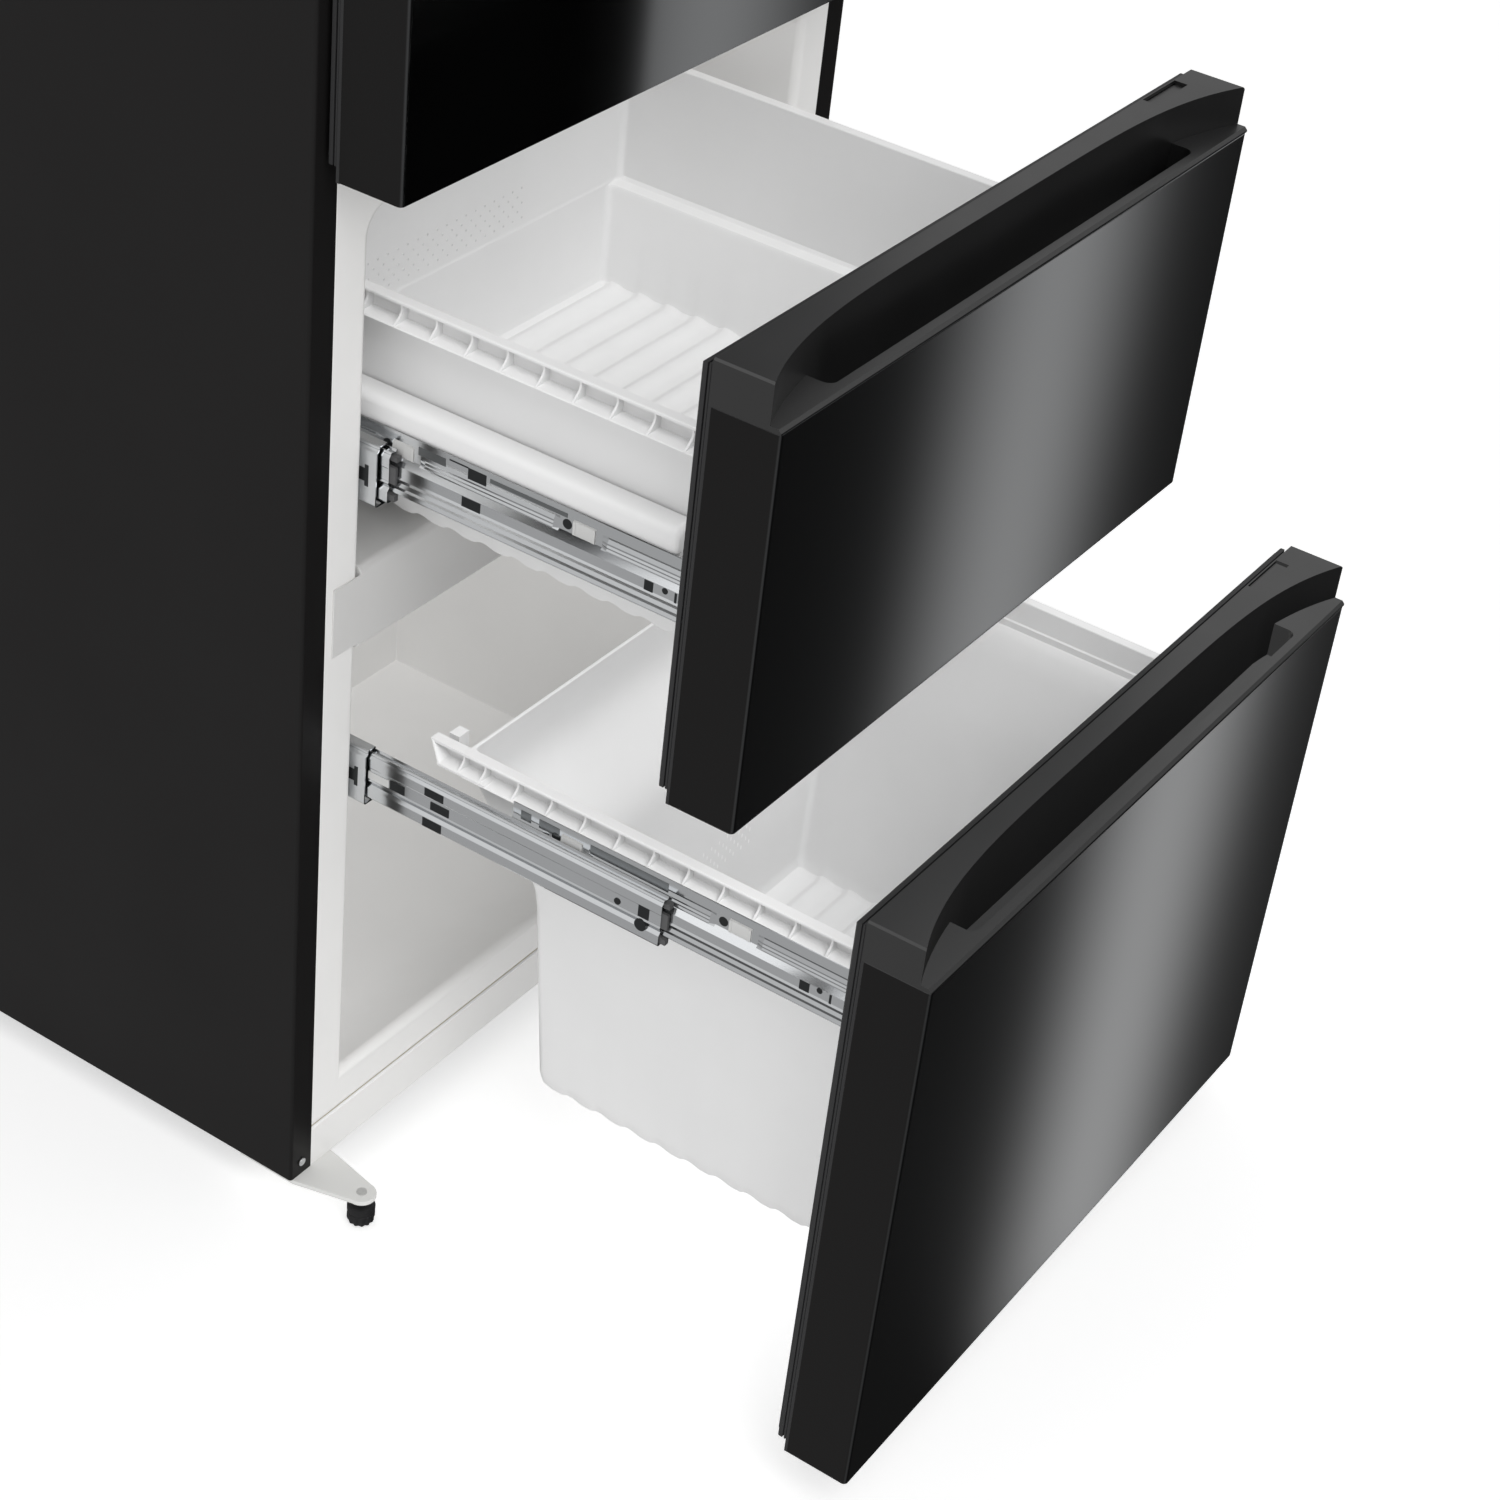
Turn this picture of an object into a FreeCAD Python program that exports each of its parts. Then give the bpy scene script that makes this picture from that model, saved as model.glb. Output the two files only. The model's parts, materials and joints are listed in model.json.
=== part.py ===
# A free-standing fridge freezer: a hinged fridge door above two pull-out freezer drawers.
# The origin is on the floor, midway between the sides, below the cabinet's front plane.
# X runs to the right seen from the front, Y to the back and Z up. Sizes are in millimetres.
# The fridge door is closed, and both freezer drawers stand part way out.

import FreeCAD, Part
import os
import re
import Sketcher

# The driving dimensions, which fill the spreadsheet
SIZES = {
    # cabinet
    "cabinet_width": 704,
    "cabinet_depth": 580,
    "cabinet_bottom": 32,
    "cabinet_top": 1985,
    "shell_sheet": 1,
    "shell_flange": 26.5,
    "shell_round": 3,
    "base_sheet": 1.5,
    "back_sheet": 1,
    "kick_sheet": 2,
    "kick_height": 42.5,
    "liner_wall": 2,
    "frame_thickness": 12,
    "frame_round": 8,
    "cut_past": 5,
    # freezer space
    "freezer_side_wall": 66,
    "freezer_rear_wall": 40,
    "freezer_round": 20,
    "freezer_floor_rise": 2.5,
    "sill_rise": 45.5,
    "sill_depth": 85,
    "lower_opening": 437,
    "upper_opening": 300,
    "beam_height": 82,
    "hump_depth": 172,
    "hump_rise": 223,
    "mullion_height": 77,
    "mullion_depth": 90,
    "mullion_proud": 1.5,
    "mullion_round": 7,
    "mullion_overlap": 32,
    # fridge space
    "fridge_side_wall": 55,
    "fridge_rear_wall": 50,
    "fridge_roof": 45,
    "shelf_count": 4,
    "shelf_gap": 15.7,
    "shelf_glass": 5,
    "shelf_clearance": 2,
    "shelf_rib": 10,
    "crisper_height": 170,
    "crisper_headroom": 20,
    "crisper_setback": 5,
    "crisper_rear_gap": 50,
    "crisper_clearance": 4,
    "tub_wall": 2.5,
    "lamp_length": 140,
    "lamp_width": 60,
    "lamp_height": 12,
    "lamp_setback": 60,
    # fronts of the door and the drawers
    "gasket_gap": 13.7,
    "front_thickness": 57.9,
    "front_inset": 8.5,
    "skin_sheet": 1,
    "skin_round": 4,
    "panel_sheet": 2,
    "cap_height": 15,
    "door_drop": 34,
    "door_top_gap": 2,
    "upper_front_drop": 30,
    "upper_front_gap": 2,
    "upper_open": 322,
    "lower_front_drop": 75.5,
    "lower_front_gap": 4.5,
    "lower_open": 498,
    "gasket_inset": 23.5,
    "gasket_width": 14,
    "gasket_clearance": 0.3,
    "plateau_side_gap": 24,
    "plateau_rise": 20,
    "plateau_margin": 14,
    "plateau_round": 18,
    # handle trim on top of each drawer front
    "trim_height": 36,
    "trim_setback": 9.3,
    "trim_ledge": 3,
    "ledge_slope": 2.2,
    "trim_chamfer": 2.5,
    "scoop_depth": 37,
    "scoop_run": 223.5,
    "pocket_inset": 75.5,
    "pocket_drop": 28,
    "pocket_back": 34,
    "pocket_wall": 2.5,
    "notch_inset": 29.5,
    "notch_length": 57,
    "notch_width": 11,
    "notch_depth": 3.5,
    # slides
    "rail_sheet": 1.5,
    "rail_height": 62,
    "rail_depth": 15,
    "rail_slack": 0.4,
    "web_gap": 2,
    "outer_rail_lead": 8,
    "upper_middle_set_back": 107,
    "lower_middle_set_back": -6,
    "rail_rear_gap": 14,
    "rail_step_back": 15,
    "upper_rail_rise": 95,
    "upper_share": 0.4,
    "lower_rail_drop": 40,
    "lower_share": 0.612,
    "ledge_clearance": 1,
    # baskets
    "basket_wall": 2.5,
    "basket_round": 20,
    "basket_front": 12,
    "rim_reach": 16,
    "rim_top_reach": 8,
    "rim_front_reach": 3,
    "rim_drop": 24,
    "gusset_sheet": 2,
    "gusset_pitch": 36,
    "gusset_margin": 24,
    "floor_rib": 6,
    "floor_rib_width": 14,
    "floor_rib_pitch": 31,
    "floor_rib_margin": 34,
    "upper_rim_drop": 80,
    "upper_mouth_inset": 35,
    "upper_rear_gap": 25,
    "upper_rim_tail": 14,
    "upper_rear_lean": 14,
    "upper_step_rise": 10,
    "upper_step_width": 15,
    "upper_step_inset": 26,
    "upper_floor_inset": 35,
    "upper_floor_gap": 15,
    "lower_rim_drop": 70,
    "lower_mouth_inset": 37,
    "lower_rear_gap": 95,
    "lower_bend_drop": 50,
    "lower_bend_inset": 11,
    "lower_bend_lean": 1,
    "lower_shoulder_drop": 122,
    "lower_shoulder_inset": 24.7,
    "lower_shoulder_lean": 6.4,
    "lower_rim_tail": 36,
    "lower_floor_inset": 45,
    "lower_floor_gap": 58,
    "lower_hump_gap": 63,
    "bar_front": 47,
    "bar_rear_gap": 59,
    "bar_height": 36,
    "bar_tuck": 3.5,
    "bar_rail_gap": 1.5,
    "bar_round": 8,
    # door pieces
    "hinge_inset": 17.5,
    "hinge_setback": 40,
    "pin_radius": 5,
    "pin_slack": 0.05,
    "pin_reach": 13,
    "hinge_plate": 4,
    "hinge_gap": 6,
    "hinge_width": 55,
    "hinge_rear": 70,
    "hinge_foot": 14,
    "hinge_cover_height": 15,
    "hinge_cover_wall": 2,
    "bin_side_gap": 35,
    "bin_depth": 88,
    "bin_height": 85,
    "bin_rise": 24,
    "bin_count": 3,
    "grip_rise": 198,
    "grip_length": 300,
    "grip_width": 34,
    "grip_depth": 24,
    "grip_wall": 2,
    # feet, rollers and their brackets
    "bracket_sheet": 4.5,
    "bracket_inset": 2,
    "bracket_width": 52,
    "bracket_rear": 60,
    "foot_inset": 30,
    "foot_reach": 55,
    "bracket_tip": 13,
    "foot_radius": 12.5,
    "foot_gap": 7.5,
    "stud_radius": 4,
    "stud_rise": 0.6,
    "roller_clearance": 3,
    "roller_width": 26,
    "roller_inset": 62,
    "roller_rear_gap": 40,
    "axle_radius": 4,
    "roller_lug": 3,
    "roller_gap": 2,
    "roller_plate": 3,
    "roller_plate_half": 22,
    # machine space
    "machine_foam": 30,
    "vent_count": 9,
    "vent_height": 6,
    "vent_pitch": 20,
    "vent_half": 130,
    "vent_rise": 38,
    "compressor_x": 150,
    "compressor_radius": 58,
    "compressor_height": 140,
    "dome_height": 30,
    "dome_radius": 40,
    "grommet_radius": 9,
    "grommet_height": 12,
    "foot_plate": 4,
    "foot_plate_half": 68,
    "tray_inset": 32,
    "tray_length": 200,
    "tray_half_depth": 60,
    "tray_height": 22,
    "tray_wall": 2,
    "fin_sheet": 1,
    "condenser_height": 150,
    "condenser_pitch": 15,
    "tube_radius": 4,
    "tube_end": 8,
    "fan_rise": 106.5,
    "motor_radius": 25,
    "motor_length": 35,
    "motor_left": 60,
    "motor_post": 20,
    "shaft_radius": 2.5,
    "shaft_reach": 22,
    "hub_radius": 14,
    "hub_length": 14,
    "hub_gap": 4,
    "blade_sheet": 1.5,
    "blade_chord": 16,
    "blade_reach": 40,
    "blade_pitch": 35,
    "blade_count": 5,
    # evaporator behind the freezer's rear cover
    "cover_gap": 41,
    "cover_sheet": 2,
    "cover_slot_half": 60,
    "cover_slot_height": 8,
    "cover_slot_pitch": 22,
    "cover_slot_count": 5,
    "evaporator_side_gap": 86,
    "evaporator_rise": 40,
    "evaporator_height": 220,
    "evaporator_depth": 32,
    "evaporator_pitch": 16,
    "evaporator_fan_drop": 214,
    "evaporator_motor": 18,
    "evaporator_motor_radius": 22,
    # screws
    "screw_head": 4,
    "screw_height": 2,
    "screw_margin": 8,
    "flange_screw_rise": 15,
}

# Places and sizes that follow from the driving dimensions
PLACES = {
    # cabinet
    "half_width": "cabinet_width / 2",
    "inner_half": "half_width - shell_sheet",
    "inner_round": "shell_round - shell_sheet",
    "frame_half": "half_width - shell_flange",
    "inner_bottom": "cabinet_bottom + base_sheet",
    "inner_top": "cabinet_top - shell_sheet",
    "inner_rear": "cabinet_depth - back_sheet",
    "frame_top": "cabinet_top - shell_flange",
    "kick_top": "cabinet_bottom + kick_height",
    # freezer and fridge spaces
    "freezer_half": "half_width - freezer_side_wall",
    "freezer_back": "cabinet_depth - freezer_rear_wall",
    "freezer_floor": "kick_top + freezer_floor_rise",
    "sill_top": "kick_top + sill_rise",
    "mullion_low": "sill_top + lower_opening",
    "mullion_high": "mullion_low + mullion_height",
    "freezer_ceiling": "mullion_high + upper_opening",
    "liner_seam": "freezer_ceiling + beam_height / 2",
    "hump_front": "cabinet_depth - hump_depth",
    "hump_top": "freezer_floor + hump_rise",
    "machine_front": "hump_front + liner_wall + machine_foam",
    "machine_top": "hump_top - liner_wall - machine_foam",
    "machine_y": "(machine_front + inner_rear) / 2",
    "fridge_half": "half_width - fridge_side_wall",
    "fridge_back": "cabinet_depth - fridge_rear_wall",
    "fridge_floor": "freezer_ceiling + beam_height",
    "fridge_ceiling": "cabinet_top - fridge_roof",
    "shelf_lowest": "fridge_floor + crisper_height + crisper_headroom",
    "shelf_pitch": "(fridge_ceiling - shelf_lowest) / shelf_count",
    "shelf_front": "plateau_face + bin_depth + shelf_gap",
    "crisper_front": "shelf_front + crisper_setback",
    "crisper_back": "fridge_back - crisper_rear_gap",
    # fronts
    "front_half": "half_width - front_inset",
    "front_back": "-gasket_gap",
    "front_face": "front_back - front_thickness",
    "panel_face": "front_back - panel_sheet",
    "core_round": "skin_round - skin_sheet",
    "plateau_half": "freezer_half - plateau_side_gap",
    "plateau_face": "front_back + plateau_rise",
    "door_low": "fridge_floor - door_drop",
    "door_high": "cabinet_top - door_top_gap",
    "upper_low": "mullion_high - upper_front_drop",
    "upper_high": "freezer_ceiling - upper_front_gap",
    "lower_low": "sill_top - lower_front_drop",
    "lower_high": "mullion_low - lower_front_gap",
    "gasket_half": "front_half - gasket_inset",
    "drawer_seal": "-mullion_proud - gasket_clearance",
    "door_seal": "-gasket_clearance",
    "seal_overlap": "mullion_height / 2 - gasket_width",
    "scoop_flat_half": "front_half - scoop_run",
    "scoop_drop": "scoop_depth - trim_setback",
    "scoop_radius": "(scoop_run ^ 2 + scoop_drop ^ 2) / (2 * scoop_drop)",
    "pocket_half": "front_half - pocket_inset",
    "pocket_round": "(pocket_back - trim_setback) / 2",
    "notch_right": "front_half - notch_inset",
    "notch_left": "notch_right - notch_length",
    # slides
    "outer_rail_back": "cover_face - rail_rear_gap",
    "middle_rail_back": "outer_rail_back - rail_step_back",
    "inner_rail_back": "middle_rail_back - rail_step_back",
    "middle_height": "rail_height - 2 * rail_sheet - 2 * rail_slack",
    "inner_height": "middle_height - 2 * rail_sheet - 2 * rail_slack",
    "middle_edge": "freezer_half - rail_sheet - web_gap",
    "inner_edge": "middle_edge - rail_sheet - web_gap",
    "rail_tip": "middle_edge - rail_depth + web_gap",
    "upper_rail": "mullion_high + upper_rail_rise",
    "lower_rail": "lower_rim - lower_rail_drop",
    "upper_middle_out": "upper_open * upper_share",
    "lower_middle_out": "lower_open * lower_share",
    "upper_ledge_top": "upper_step",
    "lower_ledge_top": "lower_rim - rim_drop",
    "upper_ledge_end": "upper_step_half + basket_wall + ledge_clearance",
    "lower_ledge_end": "lower_mouth_half + basket_wall + ledge_clearance",
    # baskets, placed as with their drawers closed
    "upper_rim": "freezer_ceiling - upper_rim_drop",
    "upper_mouth_half": "freezer_half - upper_mouth_inset",
    "upper_mouth_back": "cover_face - upper_rear_gap",
    "upper_floor": "mullion_high + upper_floor_gap",
    "upper_floor_half": "upper_mouth_half - upper_floor_inset",
    "upper_floor_back": "upper_mouth_back - upper_rear_lean",
    "upper_step": "upper_rail + upper_step_rise",
    "upper_step_half": "upper_mouth_half - upper_step_inset",
    "upper_rise": "(upper_step - upper_floor) / (upper_rim - upper_floor)",
    "upper_step_back": "upper_floor_back + upper_rear_lean * upper_rise",
    "lower_rim": "mullion_low - lower_rim_drop",
    "lower_mouth_half": "freezer_half - lower_mouth_inset",
    "lower_mouth_back": "cover_face - lower_rear_gap",
    "lower_floor": "freezer_floor + lower_floor_gap",
    "lower_floor_half": "lower_mouth_half - lower_floor_inset",
    "lower_floor_back": "hump_front - lower_hump_gap",
    "lower_bend": "lower_rim - lower_bend_drop",
    "lower_bend_half": "lower_mouth_half - lower_bend_inset",
    "lower_bend_back": "lower_mouth_back - lower_bend_lean",
    "lower_shoulder": "lower_rim - lower_shoulder_drop",
    "lower_shoulder_half": "lower_mouth_half - lower_shoulder_inset",
    "lower_shoulder_back": "lower_floor_back + lower_shoulder_lean",
    "bar_inner": "upper_mouth_half - bar_tuck",
    "bar_outer": "rail_tip - bar_rail_gap",
    "bar_back": "cover_face - bar_rear_gap",
    # door pieces
    "pivot_x": "front_half - hinge_inset",
    "pivot_y": "-hinge_setback",
    "mid_hinge_top": "door_low - hinge_gap",
    "mid_hinge_low": "mid_hinge_top - hinge_plate",
    "bin_half": "fridge_half - bin_side_gap",
    "bin_lowest": "fridge_floor + bin_rise",
    "bin_pitch": "(fridge_ceiling - bin_lowest) / bin_count",
    "grip_low": "door_low + grip_rise",
    "grip_high": "grip_low + grip_length",
    # feet and rollers
    "bracket_low": "cabinet_bottom - bracket_sheet",
    "bracket_outer": "half_width - bracket_inset",
    "bracket_inner": "bracket_outer - bracket_width",
    "foot_x": "half_width - foot_inset",
    "foot_height": "bracket_low - foot_gap",
    "stud_top": "cabinet_bottom + stud_rise",
    "roller_x": "half_width - roller_inset",
    "roller_y": "cabinet_depth - roller_rear_gap",
    "roller_plate_low": "cabinet_bottom - roller_plate",
    "roller_radius": "(roller_plate_low - roller_clearance) / 2",
    # cold circuit
    "tray_left": "half_width - tray_inset",
    "tray_right": "tray_left - tray_length",
    "tray_top": "inner_bottom + tray_height",
    "foot_plate_low": "inner_bottom + grommet_height",
    "compressor_low": "foot_plate_low + foot_plate",
    "fan_height": "inner_bottom + fan_rise",
    "vent_lowest": "cabinet_bottom + vent_rise",
    "cover_face": "freezer_back - cover_gap",
    "evaporator_half": "freezer_half - evaporator_side_gap",
    "evaporator_low": "hump_top + evaporator_rise",
    "evaporator_fan_height": "freezer_ceiling - evaporator_fan_drop",
    "cover_slot_lowest": "evaporator_fan_height - cover_slot_count * cover_slot_pitch / 2",
    "flange_screw_height": "cabinet_bottom + flange_screw_rise",
}

doc = FreeCAD.newDocument("fridge_freezer")
sheet = doc.addObject("Spreadsheet::Sheet", "sizes")
pieces = []


def fill_sheet():
    """Write each driving dimension into the sheet, with its name as the cell's alias."""
    for row, (alias, size) in enumerate(SIZES.items(), start=1):
        sheet.set(f"A{row}", alias)
        sheet.set(f"B{row}", str(size))
        sheet.setAlias(f"B{row}", alias)
    doc.recompute()


def formula(text):
    """Turn names of sizes and places into an expression on the sheet's cells."""

    def swap(match):
        word = match.group()
        if word in SIZES:
            return "sizes." + word
        if word in PLACES:
            return "(" + formula(PLACES[word]) + ")"
        return word

    return re.sub(r"[A-Za-z_]\w*", swap, str(text))


def value(text):
    """The number that a formula gives with the sheet's present sizes."""
    return float(sheet.evalExpression(formula(text)))


def bind(item, target, text):
    """Tie one property to a formula."""
    item.setExpression(target, formula(text))


def box(name, x, y, z):
    """A box between the low and high formulas given for each axis."""
    solid = doc.addObject("Part::Box", name)
    for side, axis, (low, high) in zip(("Length", "Width", "Height"), "xyz", (x, y, z)):
        bind(solid, side, f"({high}) - ({low})")
        bind(solid, f"Placement.Base.{axis}", low)
    return solid


AXIS_TURNS = {
    "x": FreeCAD.Rotation(FreeCAD.Vector(0, 1, 0), 90),
    "y": FreeCAD.Rotation(FreeCAD.Vector(1, 0, 0), -90),
    "z": FreeCAD.Rotation(),
}


def cylinder(name, axis, start, radius, length):
    """A cylinder along an axis from the centre of its first end."""
    solid = doc.addObject("Part::Cylinder", name)
    solid.Placement = FreeCAD.Placement(FreeCAD.Vector(), AXIS_TURNS[axis])
    bind(solid, "Radius", radius)
    bind(solid, "Height", length)
    for letter, text in zip("xyz", start):
        bind(solid, f"Placement.Base.{letter}", text)
    return solid


def frustum(name, low, high):
    """A box with tapered sides. Each end is (half width, front, back, height)."""
    solid = doc.addObject("Part::Wedge", name)
    for mark, (half, front, back, height) in (("", low), ("2", high)):
        bind(solid, f"X{mark}min", f"-({half})")
        bind(solid, f"X{mark}max", half)
        bind(solid, f"Z{mark}min", f"-({back})")
        bind(solid, f"Z{mark}max", f"-({front})")
    bind(solid, "Ymin", low[3])
    bind(solid, "Ymax", high[3])
    solid.Placement.Rotation = FreeCAD.Rotation(FreeCAD.Vector(1, 0, 0), 90)
    return solid


def fuse(name, *solids):
    """Several solids joined into one."""
    joined = doc.addObject("Part::MultiFuse", name)
    joined.Shapes = list(solids)
    joined.Refine = True
    return joined


def cut(name, base, *tools):
    """A solid with one or more others taken away."""
    result = doc.addObject("Part::Cut", name)
    result.Base = base
    result.Tool = tools[0] if len(tools) == 1 else fuse(name + "_tools", *tools)
    result.Refine = True
    return result


def rounded(name, base, radius, pick):
    """A solid with the edges that pick accepts rounded."""
    doc.recompute()
    size = value(radius)
    chosen = [number for number, edge in enumerate(base.Shape.Edges, start=1) if pick(edge)]
    result = doc.addObject("Part::Fillet", name)
    result.Base = base
    result.Edges = [(number, size, size) for number in chosen]
    return result


def chamfered(name, base, size, pick):
    """A solid with the edges that pick accepts cut at a slope."""
    doc.recompute()
    width = value(size)
    chosen = [number for number, edge in enumerate(base.Shape.Edges, start=1) if pick(edge)]
    result = doc.addObject("Part::Chamfer", name)
    result.Base = base
    result.Edges = [(number, width, width) for number in chosen]
    return result


def mirrored(name, source):
    """The same solid on the other side of the middle plane."""
    copy = doc.addObject("Part::Mirroring", name)
    copy.Source = source
    copy.Normal = FreeCAD.Vector(1, 0, 0)
    return copy


def group(name, *solids):
    """Separate solids kept under one name."""
    together = doc.addObject("Part::Compound", name)
    together.Links = list(solids)
    return together


def piece(item):
    """Keep a finished object as one piece of the assembly."""
    pieces.append(item)
    return item


def profile_body(name, plane_role, points):
    """A body with one closed outline of straight lines on one of its origin planes."""
    body = doc.addObject("PartDesign::Body", name)
    plane = next(item for item in body.Origin.OriginFeatures if item.Role == plane_role)
    sketch = body.newObject("Sketcher::SketchObject", name + "_outline")
    sketch.AttachmentSupport = [(plane, "")]
    sketch.MapMode = "FlatFace"
    corners = [FreeCAD.Vector(value(across), value(up), 0) for across, up in points]
    count = len(corners)
    for number, corner in enumerate(corners):
        sketch.addGeometry(Part.LineSegment(corner, corners[(number + 1) % count]), False)
    for number in range(count):
        sketch.addConstraint(Sketcher.Constraint("Coincident", number, 2, (number + 1) % count, 1))
    for number, (across, up) in enumerate(points):
        for kind, text in (("DistanceX", across), ("DistanceY", up)):
            place = sketch.addConstraint(Sketcher.Constraint(kind, -1, 1, number, 1, value(text)))
            bind(sketch, f"Constraints[{place}]", text)
    doc.recompute()
    return body, sketch


def padded(name, plane_role, points, low, high):
    """An outline pushed out along its plane's axis from low to high."""
    body, sketch = profile_body(name, plane_role, points)
    pad = body.newObject("PartDesign::Pad", name + "_pad")
    pad.Profile = sketch
    pad.Reversed = plane_role == "XZ_Plane"
    bind(pad, "Length", f"({high}) - ({low})")
    axis = {"XY_Plane": "z", "XZ_Plane": "y", "YZ_Plane": "x"}[plane_role]
    bind(body, f"Placement.Base.{axis}", low)
    return body


def turned(name, points, x, y):
    """An outline in the XZ plane turned about an upright axis at x, y."""
    body, sketch = profile_body(name, "XZ_Plane", points)
    turn = body.newObject("PartDesign::Revolution", name + "_turn")
    turn.Profile = sketch
    turn.ReferenceAxis = (sketch, ["V_Axis"])
    turn.Angle = 360
    bind(body, "Placement.Base.x", x)
    bind(body, "Placement.Base.y", y)
    return body


def runs_along(edge, axis):
    """Whether a straight edge runs along an axis."""
    if not isinstance(edge.Curve, Part.Line):
        return False
    return abs(edge.Curve.Direction.dot(axis)) > 0.999


def lies_at(edge, letter, text):
    """Whether both ends of an edge have the given coordinate."""
    place = value(text)
    return all(abs(getattr(corner.Point, letter) - place) < 0.01 for corner in edge.Vertexes)


def leans(edge):
    """Whether a straight edge climbs from one height to another, as a tub's corner does."""
    start, end = edge.Vertexes[0].Point, edge.Vertexes[-1].Point
    return abs(start.z - end.z) > 0.5 * edge.Length


X_AXIS = FreeCAD.Vector(1, 0, 0)
Y_AXIS = FreeCAD.Vector(0, 1, 0)
Z_AXIS = FreeCAD.Vector(0, 0, 1)


# Cabinet


def folded(name, block, radius, front):
    """A block with its two upright front edges rounded, as sheet folded round a corner is."""
    return rounded(
        name, block, radius, lambda edge: runs_along(edge, Z_AXIS) and lies_at(edge, "y", front)
    )


def outer_shell():
    """Black sheet over both sides and the top, folded in at the front."""
    block = box(
        "shell_block", ("-half_width", "half_width"), (0, "cabinet_depth"), ("cabinet_bottom", "cabinet_top")
    )
    inside = box(
        "shell_inside",
        ("-inner_half", "inner_half"),
        ("shell_sheet", "cabinet_depth + cut_past"),
        ("cabinet_bottom - cut_past", "inner_top"),
    )
    mouth = box(
        "shell_mouth",
        ("-frame_half", "frame_half"),
        ("-cut_past", "cut_past"),
        ("cabinet_bottom - cut_past", "frame_top"),
    )
    outside = folded("shell_outside", block, "shell_round", 0)
    hollow = folded("shell_hollow", inside, "inner_round", "shell_sheet")
    piece(cut("outer_shell", outside, hollow, mouth))


def freezer_profile(wall):
    """Side view of the freezer space, grown outwards by a wall."""
    front = 0 if wall else "-cut_past"
    grow = wall or 0
    return [
        *([] if wall else [(front, "sill_top")]),
        (0, f"sill_top - {grow}"),
        ("sill_depth", f"freezer_floor - {grow}"),
        (f"hump_front + {grow}", f"freezer_floor - {grow}"),
        (f"hump_front + {grow}", f"hump_top - {grow}"),
        (f"freezer_back + {grow}", f"hump_top - {grow}"),
        (f"freezer_back + {grow}", f"freezer_ceiling + {grow}"),
        (front, f"freezer_ceiling + {grow}"),
    ]


def freezer_liner():
    """White tub with a sloping sill in front and a hump over the compressor, and its front frame."""
    half = "freezer_half + liner_wall"
    tub = padded("freezer_tub", "YZ_Plane", freezer_profile("liner_wall"), f"-({half})", half)
    space = padded("freezer_space", "YZ_Plane", freezer_profile(None), "-freezer_half", "freezer_half")
    hollow = rounded(
        "freezer_hollow",
        space,
        "freezer_round",
        lambda edge: runs_along(edge, Y_AXIS) and lies_at(edge, "z", "freezer_ceiling"),
    )
    frame = box(
        "freezer_frame", ("-frame_half", "frame_half"), (0, "frame_thickness"), ("kick_top", "liner_seam")
    )
    shell = cut("freezer_shell", fuse("freezer_tub_and_frame", tub, frame), hollow)
    liner = rounded(
        "freezer_liner",
        shell,
        "frame_round",
        lambda edge: lies_at(edge, "y", 0) and abs(edge.CenterOfMass.x) < value("freezer_half") + 0.01,
    )
    piece(liner)
    return fuse("freezer_outside", tub, frame)


def mullion():
    """White beam across the freezer between the two drawers, with a plate over the side strips."""
    height = ("mullion_low", "mullion_high")
    beam = box("mullion_beam", ("-freezer_half", "freezer_half"), ("-mullion_proud", "mullion_depth"), height)
    soft = rounded(
        "mullion_soft",
        beam,
        "mullion_round",
        lambda edge: runs_along(edge, X_AXIS) and lies_at(edge, "y", "-mullion_proud"),
    )
    half = "freezer_half + mullion_overlap"
    flat = ("mullion_low + mullion_round", "mullion_high - mullion_round")
    plate = box("mullion_plate", (f"-({half})", half), ("-mullion_proud", 0), flat)
    piece(fuse("freezer_mullion", soft, plate))


def fridge_liner():
    """White tub of the fridge space with ribs for the shelves, and its front frame."""
    height = ("fridge_floor", "fridge_ceiling")
    space = box("fridge_space", ("-fridge_half", "fridge_half"), ("-cut_past", "fridge_back"), height)
    half = "fridge_half + liner_wall"
    tub = box(
        "fridge_tub",
        (f"-({half})", half),
        (0, "fridge_back + liner_wall"),
        ("fridge_floor - liner_wall", "fridge_ceiling + liner_wall"),
    )
    frame = box(
        "fridge_frame", ("-frame_half", "frame_half"), (0, "frame_thickness"), ("liner_seam", "frame_top")
    )
    outside = fuse("fridge_outside", tub, frame)
    ribs = []
    for number in range(int(value("shelf_count"))):
        top = f"shelf_lowest + {number} * shelf_pitch"
        rib = box(
            f"shelf_rib_{number}",
            ("-fridge_half", "-fridge_half + shelf_rib"),
            ("shelf_front", "fridge_back"),
            (f"{top} - shelf_rib", top),
        )
        ribs += [rib, mirrored(f"shelf_rib_{number}_right", rib)]
    piece(fuse("fridge_liner", cut("fridge_shell", outside, space), *ribs))
    return outside


def cabinet_foam(*hollows):
    block = box(
        "foam_block",
        ("-inner_half", "inner_half"),
        ("shell_sheet", "inner_rear"),
        ("inner_bottom", "inner_top"),
    )
    machine = box(
        "machine_space",
        ("-inner_half", "inner_half"),
        ("machine_front", "cabinet_depth"),
        ("cabinet_bottom", "machine_top"),
    )
    kick = box(
        "kick_space", ("-frame_half", "frame_half"), (0, "kick_sheet"), ("cabinet_bottom", "kick_top")
    )
    filling = folded("foam_filling", block, "inner_round", "shell_sheet")
    piece(cut("foam_insulation", filling, *hollows, machine, kick))


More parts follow.
